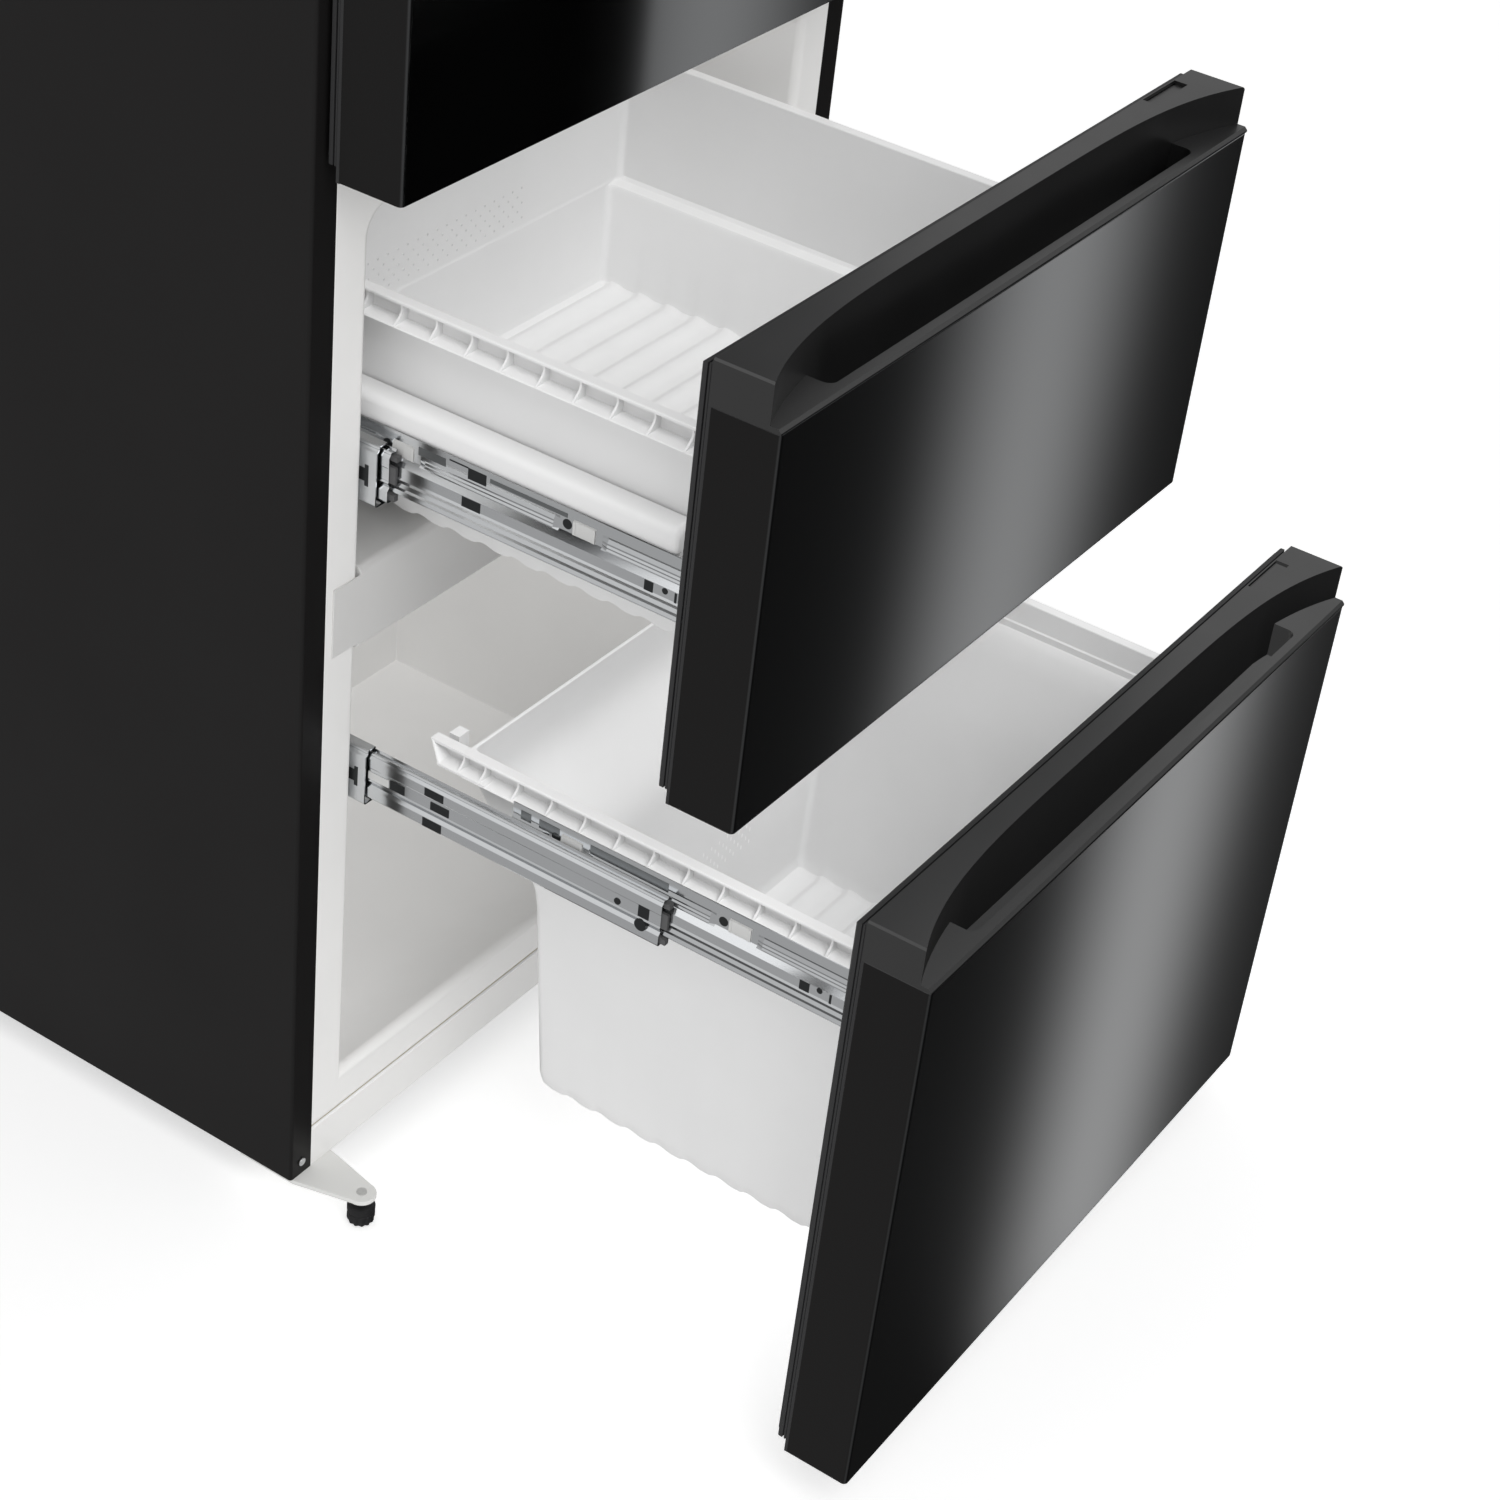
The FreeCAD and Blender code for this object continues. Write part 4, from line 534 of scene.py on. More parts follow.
def basket_form(levels, front, drop, low_reach, wave_start, gusset_start, tail, lean):
    """A basket from its inner levels of (half width, back, height), from the floor up to the rim."""
    form = Form()
    floor_half, floor_back, floor = levels[0]
    half, back, rim = levels[-1]
    outer = half + BASKET_WALL
    front_outer = front - BASKET_WALL
    back_outer = back + BASKET_WALL
    low = rim - drop
    rings = []
    for share in FLOOR_SHARES:
        inset = FLOOR_ROUND * share
        rings.append((floor_half - inset, front + inset, floor_back - inset,
                      CORNER_ROUND - inset * FLOOR_CORNER_SHARE,
                      floor + FLOOR_ROUND * (1.0 - share) * FLOOR_LIFT_SHARE, 1.0))
    rings.append((floor_half, front, floor_back, CORNER_ROUND, floor + FLOOR_ROUND, 1.0))
    for half_here, back_here, height in levels[1:-1]:
        rings.append((half_here, front, back_here, CORNER_ROUND, height, 0.0))
    rings.append((half, front, back, CORNER_ROUND, rim - RIM_EDGE, 0.0))
    rings.append((half + RIM_EDGE, front - RIM_EDGE, back + RIM_EDGE, CORNER_ROUND, rim, 0.0))

    def flange(reach, height):
        corner = FLANGE_RADIUS if reach else CORNER_ROUND
        front_reach = RIM_FRONT_REACH if reach else 0.0
        rings.append((outer + reach, front_outer - front_reach, back_outer, corner, height, 0.0))

    flange(RIM_TOP_REACH - RIM_EDGE, rim)
    flange(RIM_TOP_REACH, rim - RIM_EDGE)
    flange(RIM_TOP_REACH, rim - RIM_LIP)
    flange(RIM_TOP_REACH - LIP_SHEET, rim - RIM_LIP)
    flange(RIM_TOP_REACH - LIP_SHEET, rim - RIM_SHEET)
    flange(0.0, rim - RIM_SHEET)
    flange(0.0, low + RIM_SHEET)
    flange(low_reach - RIM_EDGE, low + RIM_SHEET - RIM_EDGE)
    flange(low_reach, low + RIM_SHEET - 2 * RIM_EDGE)
    flange(low_reach, low)
    flange(0.0, low)
    for half_here, back_here, height in levels[-2:0:-1]:
        if height <= low - UNDER_DROP:
            rings.append((half_here + BASKET_WALL, front_outer, back_here + BASKET_WALL, CORNER_ROUND,
                          height - UNDER_DROP, 0.0))
    rings.append((floor_half + BASKET_WALL, front_outer, floor_back + BASKET_WALL, CORNER_ROUND,
                  floor + FLOOR_ROUND - UNDER_DROP, 1.0))
    for share in FLOOR_SHARES[::-1]:
        inset = FLOOR_ROUND * share - BASKET_WALL
        rings.append((floor_half - inset, front + inset, floor_back - inset,
                      CORNER_ROUND - UNDER_CORNER - UNDER_CORNER * share,
                      floor + FLOOR_ROUND * (1.0 - share) * FLOOR_LIFT_SHARE - BASKET_WALL, 1.0))
    made = [basket_ring(*ring, wave_start) for ring in rings]
    form.loft(made, ends=False)
    form.faces.extend(floor_faces(0))
    form.faces.extend(floor_faces(len(form.points) - len(made[0])))
    sides = Form()
    depth = gusset_start
    while depth < back_outer - GUSSET_PITCH / 3:
        gusset(sides, outer, depth, rim, drop, RIM_TOP_REACH, low_reach)
        depth += GUSSET_PITCH
    gusset(sides, outer, back_outer, rim, drop, RIM_TOP_REACH, low_reach)
    rim_tail(sides, half, back, rim, drop, low_reach, tail, lean)
    sides.mirror()
    form.add(sides.points, sides.faces)
    return form


upper_levels = [
    (216.0, 138.0, 649.0), (224.6, 143.9, 736.0), (227.0, 144.1, 739.2), (238.0, 144.25, 741.2),
    (240.4, 144.45, 744.0), (248.5, 152.0, 856.0),
]
upper_form = basket_form(upper_levels, front=-310.0, drop=18.0, low_reach=16.0, wave_start=-296.0,
                         gusset_start=-305.2, tail=14.0, lean=6.0)
make_piece("upper_basket_shape", upper_form, FINISHES["white_plastic"], "upper_drawer",
           ["upper_basket"])

lower_levels = [
    (204.0, -153.0, 135.0), (205.5, -152.5, 152.0), (222.1, -147.3, 340.0), (223.6, -145.8, 355.0),
    (226.0, -141.6, 370.0), (228.6, -133.4, 385.0), (231.4, -122.8, 400.0), (234.2, -112.0, 415.0),
    (236.6, -103.2, 427.0), (238.8, -97.6, 438.0), (243.0, -95.2, 449.0), (246.2, -94.6, 457.0),
    (247.6, -94.5, 458.4), (247.8, -94.4, 464.4), (249.0, -94.3, 465.8), (251.0, -94.0, 487.0),
]
lower_form = basket_form(lower_levels, front=-486.0, drop=16.5, low_reach=16.0, wave_start=-478.0,
                         gusset_start=-475.8, tail=36.0, lean=15.0)
TAB_LOW = (-247.0, -76.0, 470.0)
TAB_HIGH = (-234.0, -66.0, 488.0)
lower_form.box(TAB_LOW, TAB_HIGH)
make_piece("lower_basket_shape", lower_form, FINISHES["white_plastic"], "lower_drawer",
           ["lower_basket"])


# Vents in the baskets' rear walls: plugs whose colour paints the shade or the light seen through the holes

VENT_PITCH = 12.75
VENT_SHIFT = 6.65
VENT_COUNT = 17
VENT_ROWS = 5
VENT_ROW_STEP = 6.75
VENT_SIDES = 12
VENT_PROUD = 0.25
VENT_ROOT = 1.0


def vents(name, left, top, wall_top, slope, half_width, half_height, finish, body):
    """Staggered rows of small round or upright vent plugs on a leaning rear wall, whose finish paints the
    shade or the light seen through the holes.
    """
    form = Form()
    for row in range(VENT_ROWS):
        height = top - row * VENT_ROW_STEP
        wall = wall_top - row * VENT_ROW_STEP * slope
        for place in range(VENT_COUNT - row % 2):
            x = left + place * VENT_PITCH + row % 2 * VENT_SHIFT
            form.loft([[(x + half_width * math.cos(angle), depth, height + half_height * math.sin(angle))
                        for angle in turn(VENT_SIDES)] for depth in (wall - VENT_PROUD, wall + VENT_ROOT)])
    make_piece(name, form, finish, body)


# The upper vents get the painted shade, the lower vents the painted light.
vents("upper_vents", left=-107.0, top=777.0, wall_top=146.6, slope=0.067, half_width=1.0, half_height=1.0,
      finish=PAINTED_SHADE_VENT, body="upper_drawer")
vents("lower_vents", left=-97.7, top=247.6, wall_top=-149.8, slope=0.028, half_width=1.0, half_height=2.3,
      finish=PAINTED_LIGHT_VENT, body="lower_drawer")


# Slides

RAIL_SHEET = 1.1
RAIL_SHARP = 9.0
RAIL_INSIDE = 269.5
OUTER_INSIDE = 271.0
OUTER_FRONT = -12.5

# Each rail's section is a line of (distance outward, height above the slide's middle), from its top down.
OUTER_LINE = [(2.2, 13.6), (2.2, 15.0), (3.0, 15.8), (11.0, 15.8), (12.2, 15.0), (12.8, 13.8), (12.4, 12.8),
              (13.4, 11.4), (15.0, 10.2), (15.0, -35.0), (14.2, -36.6), (12.6, -37.4), (3.0, -37.4),
              (2.2, -36.6), (2.2, -34.0)]
MIDDLE_LINE = [(4.2, 13.4), (5.2, 11.7), (10.2, 12.9), (11.2, 11.6), (11.0, 10.9), (13.0, 8.6), (13.0, 0.2),
               (12.8, -0.4), (12.8, -10.8), (12.4, -11.5), (13.4, -12.9), (11.6, -17.2), (14.0, -20.0),
               (14.0, -28.6), (13.4, -29.8), (12.2, -30.3), (3.0, -30.3)]
INNER_LINE = [(1.0, 26.6), (1.0, 17.4), (0.2, 15.4), (2.0, 12.6), (1.6, 11.0), (2.6, 9.6), (2.2, 8.2),
              (3.2, 6.8), (3.0, 5.6), (8.0, 2.4), (8.0, -6.2), (9.2, -7.8), (7.6, -11.6), (9.4, -14.2),
              (8.0, -17.8), (9.6, -20.2), (9.6, -21.0), (9.0, -21.6), (3.0, -21.6)]
OUTER_WEB = OUTER_INSIDE + 15.0
MIDDLE_WEB = RAIL_INSIDE + 13.0
MIDDLE_FOOT = RAIL_INSIDE + 14.0
MIDDLE_BEAD = RAIL_INSIDE + 14.0
INNER_WEB = RAIL_INSIDE + 8.0
INNER_SHEET = RAIL_INSIDE + 1.0

# Round a clip, the beads between these heights are pressed flat.
BEAD_TOP = 16.0
BEAD_LOW = 6.0
PRESSED_OUT = 1.0
PRESS_AHEAD = 6.0
PRESS_BEHIND = 18.0
PRESS_SLOPE = 5.0
CLIP_LENGTH = 20.0
CLIP_LOW = 6.6
CLIP_HIGH = 19.4
CLIP_THICK = 1.4
CLIP_FRAME = 2.2
CLIP_PROUD = 0.4
CLIP_CHAMFER = 0.8
SEAT_SHEET = 1.0
SEAT_BEHIND = 6.0
SEAT_UP = 13.2
SEAT_RADIUS = 4.2
MARK_PROUD = 0.3
OPENING_SHADE_SHEET = 0.6
SHADE_STRIP_SHEET = 0.5
STUD_SHEET = 2.0

# The cage's parts, each as (distance outward, thickness, low, high) at the middle rail's front end.
CAGE_PARTS = [(10.2, 5.6, 6.2, 10.4), (11.4, 2.6, -13.0, 1.6), (11.8, 4.6, -27.6, -22.6)]
CAGE_AHEAD = 5.5
CAGE_BEHIND = 8.0


def rail_pair(name, line, inside, middle, stations, body, covers):
    """Both rails of a pair, from (depth, pressed flat) stations."""
    rings = []
    for depth, pressed in stations:
        here = [(PRESSED_OUT if pressed and BEAD_LOW < up < BEAD_TOP else out, up) for out, up in line]
        rings.append([(-inside - out, depth, middle + up) for out, up in sheet_outline(here, RAIL_SHEET)])
    form = Form()
    form.loft(rings)
    form.mirror()
    return make_piece(name, form, FINISHES["zinc_steel"], body, covers, RAIL_SHARP)


def marked(face, thick, *places):
    """Places on one face of a rail that share a thickness."""
    return [(face, thick, *place) for place in places]


def plates(name, middle, places, rounds, finish, body):
    """Thin plates from (front, back, low, high) and discs from (depth, height, radius) on both slides."""
    form = Form()
    for face, thick, front, back, low, high in places:
        outer = -face - MARK_PROUD
        form.box((outer, front, middle + low), (outer + thick, back, middle + high))
    for face, thick, depth, up, radius in rounds:
        outer = -face - MARK_PROUD
        form.disc(outer, outer + thick, depth, middle + up, radius)
    form.mirror()
    return make_piece(name, form, finish, body)


def clip_form(middle, fronts):
    """White clips with a raised frame at both ends."""
    form = Form()
    face = -INNER_SHEET - CLIP_THICK
    for front in fronts:
        back = front + CLIP_LENGTH
        outline = [(-INNER_SHEET, middle + CLIP_LOW), (face + CLIP_CHAMFER, middle + CLIP_LOW),
                   (face, middle + CLIP_LOW + CLIP_CHAMFER), (face, middle + CLIP_HIGH - CLIP_CHAMFER),
                   (face + CLIP_CHAMFER, middle + CLIP_HIGH), (-INNER_SHEET, middle + CLIP_HIGH)]
        form.along_depth(outline, front, back)
        for edge in (front, back - CLIP_FRAME):
            form.box((face - CLIP_PROUD, edge, middle + CLIP_LOW + CLIP_CHAMFER),
                     (face + CLIP_PROUD, edge + CLIP_FRAME, middle + CLIP_HIGH - CLIP_CHAMFER))
    form.mirror()
    return form


def slide_set(level, middle, drawer, slides, middle_cut, inner_back, clip_fronts, marks):
    """The outer, middle and inner rails of one drawer with their clips and cage, dark plates that paint the
    shade in their openings, grey strips of painted shade and white window plates.
    """
    outer_high = millimetres(f"{level}_outer_rails")[1]
    middle_low, middle_high = millimetres(f"{level}_middle_rails")
    inner_front = millimetres(f"{level}_inner_rails")[0].y
    end = middle_low.y + middle_cut
    rail_pair(f"{level}_outer_slide", OUTER_LINE, OUTER_INSIDE, middle,
              [(OUTER_FRONT, False), (outer_high.y, False)], "cabinet", [f"{level}_outer_rails"])
    rail_pair(f"{level}_middle_slide", MIDDLE_LINE, RAIL_INSIDE, middle,
              [(end, False), (middle_high.y, False)], slides, [f"{level}_middle_rails"])
    stations = [(inner_front, False)]
    for front in clip_fronts:
        ahead = front - PRESS_AHEAD
        behind = front + CLIP_LENGTH + PRESS_BEHIND
        stations += [(ahead - PRESS_SLOPE, False), (ahead, True)]
        stations += [(behind - PRESS_SLOPE, True), (behind, False)]
    stations.append((inner_back, False))
    rail_pair(f"{level}_inner_slide", INNER_LINE, RAIL_INSIDE, middle, stations, drawer,
              [f"{level}_inner_rails"])
    make_piece(f"{level}_slide_clips", clip_form(middle, clip_fronts), CLIP_WHITE, drawer)
    seats = [(INNER_SHEET, SEAT_SHEET, front + CLIP_LENGTH + SEAT_BEHIND, SEAT_UP, SEAT_RADIUS)
             for front in clip_fronts]
    # Dark plates and discs paint the shade seen in the inner rails' openings.
    plates(f"{level}_inner_openings", middle, marks["inner"], seats + marks["inner_hole_shade"], PAINTED_SHADE_STEEL,
           drawer)
    # Grey strips paint the shade on the inner rails' upper sheet.
    plates(f"{level}_slide_strips", middle, marks["strips"], [], PAINTED_SHADE_GREY, drawer)
    cage = [(RAIL_INSIDE + out, thick, end - CAGE_AHEAD, end + CAGE_BEHIND, low, high)
            for out, thick, low, high in CAGE_PARTS]
    plates(f"{level}_slide_cage", middle, cage, [], CAGE_GREY, slides)
    # Dark plates and discs paint the shade seen in the middle rails' openings.
    plates(f"{level}_middle_openings", middle, marks["middle"], marks["middle_hole_shade"], PAINTED_SHADE_STEEL,
           slides)
    plates(f"{level}_middle_windows", middle, marks["windows"], [], CLIP_WHITE, slides)
    plates(f"{level}_outer_openings", middle, OUTER_OPENING_SHADE, [], PAINTED_SHADE_STEEL, "cabinet")


# Dark plates on the outer rails' web paint the shade in their slots.
OUTER_OPENING_SHADE = marked(OUTER_WEB, OPENING_SHADE_SHEET, (-5.0, -1.6, -21.0, -2.5), (-1.6, 3.9, -17.0, -6.0))
upper_marks = {
    "inner": (marked(INNER_SHEET, OPENING_SHADE_SHEET, (-104.5, -87.3, 13.0, 23.0), (-87.3, -69.5, 22.2, 23.4))
              + marked(INNER_WEB, OPENING_SHADE_SHEET, (-105.6, -88.0, -8.4, 2.0), (-264.4, -256.4, -8.0, 2.0),
                       (-285.4, -283.4, -7.8, 1.7))),
    "inner_hole_shade": marked(INNER_WEB, OPENING_SHADE_SHEET, (-274.8, -0.5, 2.6)),
    "strips": marked(INNER_SHEET, SHADE_STRIP_SHEET, (-180.0, -108.0, 18.4, 22.0), (-66.0, -40.0, 15.0, 22.0)),
    "middle": marked(MIDDLE_WEB, OPENING_SHADE_SHEET, (-2.0, 8.0, -10.0, 2.0)),
    "middle_hole_shade": marked(MIDDLE_WEB, OPENING_SHADE_SHEET, (26.0, -7.3, 3.0)),
    "windows": marked(MIDDLE_WEB, OPENING_SHADE_SHEET, (60.0, 87.0, -10.6, -3.5)),
}
lower_marks = {
    "inner": marked(INNER_WEB, OPENING_SHADE_SHEET, (-438.4, -429.4, -7.0, 2.2), (-458.4, -456.4, -7.4, 2.0)),
    "inner_hole_shade": marked(INNER_WEB, OPENING_SHADE_SHEET, (-447.4, 0.5, 2.6)),
    "strips": marked(INNER_SHEET, SHADE_STRIP_SHEET, (-301.0, -226.0, 14.0, 22.6), (-196.0, -176.0, 14.0, 22.6),
                     (-168.0, -158.0, 14.0, 22.6)),
    "middle": (marked(MIDDLE_WEB, OPENING_SHADE_SHEET, (-90.0, -71.0, 0.6, 8.2), (-96.0, -77.5, -10.6, -3.0))
               + marked(MIDDLE_FOOT, OPENING_SHADE_SHEET, (-90.0, -71.0, -29.0, -20.6))
               + marked(MIDDLE_WEB, OPENING_SHADE_SHEET, (-50.5, -36.0, -10.6, -2.7),
                        (-293.0, -283.0, -10.8, 0.0))),
    "middle_hole_shade": (marked(MIDDLE_WEB, OPENING_SHADE_SHEET, (-263.0, -7.3, 3.0))
                     + marked(MIDDLE_BEAD, STUD_SHEET, (-286.6, -17.7, 5.5))),
    "windows": marked(MIDDLE_WEB, OPENING_SHADE_SHEET, (-34.6, -13.4, -10.6, -3.5)),
}
slide_set("upper", middle=729.0, drawer="upper_drawer", slides="upper_middle_slides", middle_cut=0.0,
          inner_back=133.0, clip_fronts=(-206.3, -36.4), marks=upper_marks)
slide_set("lower", middle=447.0, drawer="lower_drawer", slides="lower_middle_slides", middle_cut=6.5,
          inner_back=-150.0, clip_fronts=(-379.2, -219.0), marks=lower_marks)


# Side bars over the upper slides

BAR_OUTER = 268.0
BAR_INNER = 247.5
BAR_LIP = 262.5
BAR_MIDDLE = 255.0
BAR_ROUND = 7.0
BAR_HANG = 20.0
BAR_END_ROUND = 6.0
BAR_END_SHARE = 0.6


def side_bars():
    """White bars with a softly rounded outer edge that hangs over the slide."""
    low, high = millimetres("upper_side_bars")
    lip = high.z - BAR_HANG
    outline = [(-BAR_INNER, low.z), (-BAR_INNER, high.z)]
    for angle in QUARTER_ANGLES:
        outline.append((-BAR_OUTER + BAR_ROUND - BAR_ROUND * math.sin(angle),
                        high.z - BAR_ROUND + BAR_ROUND * math.cos(angle)))
    outline += [(-BAR_OUTER, lip), (-BAR_LIP, lip), (-BAR_LIP, low.z)]
    rings = []
    centre_z = (low.z + high.z) / 2
    for angle in QUARTER_ANGLES:
        inset = BAR_END_ROUND * (1 - math.sin(angle))
        depth = low.y + BAR_END_ROUND * (1 - math.cos(angle))
        rings.append([(x + inset * BAR_END_SHARE if x < -BAR_MIDDLE else x, depth,
                       z - inset if z > centre_z else z) for x, z in outline])
    rings.append([(x, high.y, z) for x, z in outline])
    form = Form()
    form.loft(rings)
    form.mirror()
    make_piece("upper_bars", form, FINISHES["white_plastic"], "upper_drawer",
               ["upper_side_bars"])


side_bars()


# Handle trims

LEDGE_HEIGHT = 4.0
LEDGE_CHAMFER = 2.4
TRIM_SETBACK = 9.2
SCOOP_DEPTH = 30.0
SCOOP_POWER = 5.0
POCKET_FRONT = 9.8
POCKET_BACK = 33.4
POCKET_DEPTH = 31.4
POCKET_HALF = 267.5
POCKET_ROUND = 8.0
CUP_WALL = 2.2
TRIM_EDGE = 1.6
NOTCH_LEFT = 256.0
NOTCH_RIGHT = 311.0
NOTCH_DEEP = 3.0
NOTCH_BACK = 1.0
NOTCH_FRONT = 13.0
TRIM_STATION = 8.0
TRIM_STEP = 0.1


def trim_stations(half):
    """Places along a trim where its section is drawn, close together where it changes."""
    places = {-half, -half + TRIM_EDGE, half - TRIM_EDGE, half}
    count = int(2 * half / TRIM_STATION)
    places.update(-half + TRIM_EDGE + (2 * half - 2 * TRIM_EDGE) * step / count for step in range(1, count))
    for angle in QUARTER_ANGLES:
        reach = POCKET_HALF - POCKET_ROUND * (1 - math.cos(angle))
        places.update((-reach, reach))
    places.update((-POCKET_HALF - TRIM_STEP, POCKET_HALF + TRIM_STEP))
    for edge in (NOTCH_LEFT, NOTCH_RIGHT):
        places.update((edge - TRIM_STEP, edge))
    return sorted(places)


def trim_section(x, half, front, back, base, top):
    """The trim's outline in y and z at one place: rear, notched top, scooped wall, pocket, ledge, cup."""
    ledge = base + LEDGE_HEIGHT
    under = base + TRIM_STEP
    wall = front + TRIM_SETBACK + SCOOP_DEPTH * (1 - min(abs(x) / half, 1.0) ** SCOOP_POWER)
    foot = min(wall, front + POCKET_BACK)
    lip = front + POCKET_FRONT
    floor = ledge - TRIM_STEP
    if abs(x) <= POCKET_HALF:
        floor = ledge - POCKET_DEPTH
        under = floor - CUP_WALL
        corner = max(abs(x) - POCKET_HALF + POCKET_ROUND, 0.0)
        lip += POCKET_ROUND - math.sqrt(max(POCKET_ROUND ** 2 - corner ** 2, 0.0))
    else:
        lip = foot - TRIM_STEP
    lip = min(lip, foot - TRIM_STEP)
    upper = top - (TRIM_EDGE if abs(x) > half - TRIM_EDGE / 2 else 0.0)
    notch = upper - (NOTCH_DEEP if NOTCH_LEFT <= x < NOTCH_RIGHT else 0.0)
    return [(back, base), (back, upper), (back - NOTCH_BACK, upper), (back - NOTCH_BACK, notch),
            (back - NOTCH_FRONT, notch), (back - NOTCH_FRONT, upper), (wall, upper), (foot, ledge),
            (foot, floor), (lip, floor), (lip, ledge), (front + LEDGE_CHAMFER, ledge),
            (front, ledge - LEDGE_CHAMFER), (front, base), (lip - CUP_WALL, base), (lip - CUP_WALL, under),
            (foot + CUP_WALL, under), (foot + CUP_WALL, base)]


def handle_trim(level):
    """A trim over a drawer's front, with a long scoop and a finger pocket behind a narrow ledge."""
    node = f"{level}_drawer_handle_trim"
    low, high = millimetres(node)
    base = millimetres(f"{level}_drawer_skin")[1].z
    form = Form()
    form.loft([[(x, y, z) for y, z in trim_section(x, high.x, low.y, high.y, base, high.z)]
               for x in trim_stations(high.x)])
    make_piece(f"{level}_trim", form, TRIM_BLACK, f"{level}_drawer", [node])


handle_trim("upper")
handle_trim("lower")


# Gaskets

# The seal's section as (distance in from the seal's outer edge, height above the panel), outside first.
SEAL_LINE = [(2.0, 0.9), (2.0, 1.7), (0.0, 1.9), (0.0, 3.5), (2.0, 3.7), (2.0, 4.8), (0.0, 5.0), (0.0, 8.4),
             (0.7, 9.2), (3.0, 9.6), (4.4, 11.6), (6.0, 11.9), (15.6, 11.9), (17.2, 10.9), (18.0, 9.0),
             (17.6, 5.0), (18.0, 0.2)]
SEAL_LIFT = 11.0
SEAL_DROP = 3.0
SEAL_SIDE = 0.4
SEAL_SHARP = 40.0
SEAL_UNDER_TRIM = 3.0
WRAP_OUT = 0.6
WRAP_DEPTH = 2.2
FLANGE_LIFT = 0.1
FLANGE_SHEET = 0.9


def gasket_ring(name, node, panel, high_edge, body):
    """A seal that runs round the back of a front, with a thin flange that wraps the panel's edge."""
    low, high = millimetres(node)
    panel_low, panel_high = millimetres(panel)
    base = low.y
    edge = panel_high.x
    foot = panel_low.z
    sections = []
    for inset, up in SEAL_LINE:
        sections.append((edge - SEAL_SIDE - inset, foot + SEAL_LIFT + inset, high_edge - SEAL_DROP - inset,
                         base + min(up, high.y - low.y)))
    sections.append((edge, foot, high_edge, base + FLANGE_LIFT))
    sections.append((edge, foot, high_edge, base - WRAP_DEPTH))
    sections.append((edge + WRAP_OUT, foot - WRAP_OUT, high_edge, base - WRAP_DEPTH))
    sections.append((edge + WRAP_OUT, foot - WRAP_OUT, high_edge, base + FLANGE_SHEET))
    rings = [[(-half, y, z_low), (half, y, z_low), (half, y, z_high), (-half, y, z_high)]
             for half, z_low, z_high, y in sections]
    form = Form()
    form.loft(rings, looped=True)
    make_piece(name, form, FINISHES["gasket_rubber"], body, [node], SEAL_SHARP)


for level in ("upper", "lower"):
    seal_high = millimetres(f"{level}_drawer_handle_trim")[1].z - SEAL_UNDER_TRIM
    gasket_ring(f"{level}_seal", f"{level}_drawer_gasket", f"{level}_drawer_inner_panel", seal_high,
                f"{level}_drawer")
gasket_ring("door_seal", "door_gasket", "door_inner_panel", millimetres("door_inner_panel")[1].z,
            "fridge_door")


# Seam between the liner's frame and the kick strip

SEAM_SET_BACK = 0.1
SEAM_DEPTH = 2.5
SEAM_OVERLAP = 0.4


def seam_bead():
    """A narrow white bead that closes the gap over the kick strip."""
    strip_low, strip_high = millimetres("kick_strip")
    liner_low = millimetres("freezer_liner")[0]
    form = Form()
    form.box((strip_low.x, strip_low.y + SEAM_SET_BACK, strip_high.z - SEAM_OVERLAP),
             (strip_high.x, strip_low.y + SEAM_DEPTH, liner_low.z + SEAM_OVERLAP))
    make_piece("seam_bead", form, FINISHES["white_plastic"], "cabinet")


seam_bead()


# Feet

# Levels of a foot and of its stud are (radius, height, flute depth).
FOOT_LEVELS = [(9.5, 0.0, 0.8), (11.6, 1.2, 1.3), (12.4, 4.0, 1.3), (12.4, 9.4, 1.3), (12.1, 10.6, 0.6),
               (11.2, 11.2, 0.0), (11.2, 12.6, 0.0), (12.4, 13.4, 0.0), (12.5, 17.0, 0.0),
               (11.6, 19.4, 0.0), (10.0, 20.0, 0.0), (4.0, 20.0, 0.0), (4.0, 32.2, 0.0), (3.4, 32.6, 0.0)]
STUD_LEVELS = [(4.6, 31.6, 0.0), (4.6, 32.9, 0.0), (4.1, 33.3, 0.0)]
FOOT_FLUTES = 12
FOOT_SIDES = 96
for side in ("left", "right"):
    foot_node = f"levelling_foot_{side}"
    foot_low, foot_high = millimetres(foot_node)
    centre = (foot_low + foot_high) / 2
    foot = Form()
    foot.turned((centre.x, centre.y), FOOT_LEVELS, FOOT_SIDES, FOOT_FLUTES)
    make_piece(f"{side}_fluted_foot", foot, FINISHES["machine_black"], f"{side}_foot",
               [foot_node])
    stud = Form()
    stud.turned((centre.x, centre.y), STUD_LEVELS)
    make_piece(f"{side}_foot_stud", stud, FOOT_GREY, f"{side}_foot")


# Stage, light and camera

WHITE = (1.0, 1.0, 1.0, 1.0)
BLACK = (0.0, 0.0, 0.0, 1.0)
FLOOR_REACH = 30.0
FLOOR_GLOW = 0.53
FRONT_LIGHT_PLACE = Vector((1.95, -1.29, 0.4))
FRONT_LIGHT_FACING = Vector((0.0, 1.0, 0.0))
FRONT_LIGHT_SIZE = (0.84, 4.8)
FRONT_LIGHT_WATTS = 14.0
FRONT_LIGHT_NODES = ("door_skin", "upper_drawer_skin", "lower_drawer_skin")
KEY_PLACE = (-1.6, -2.6, 3.4)
KEY_SIZE = 2.4
KEY_WATTS = 36.0
STAGE_MIDDLE = Vector((0.0, 0.0, 0.7))
SUN_ANGLE = math.radians(50.0)
LINER_FILL = 1.5
LINER_FILL_FROM = Vector((-0.48, -0.44, 0.76))
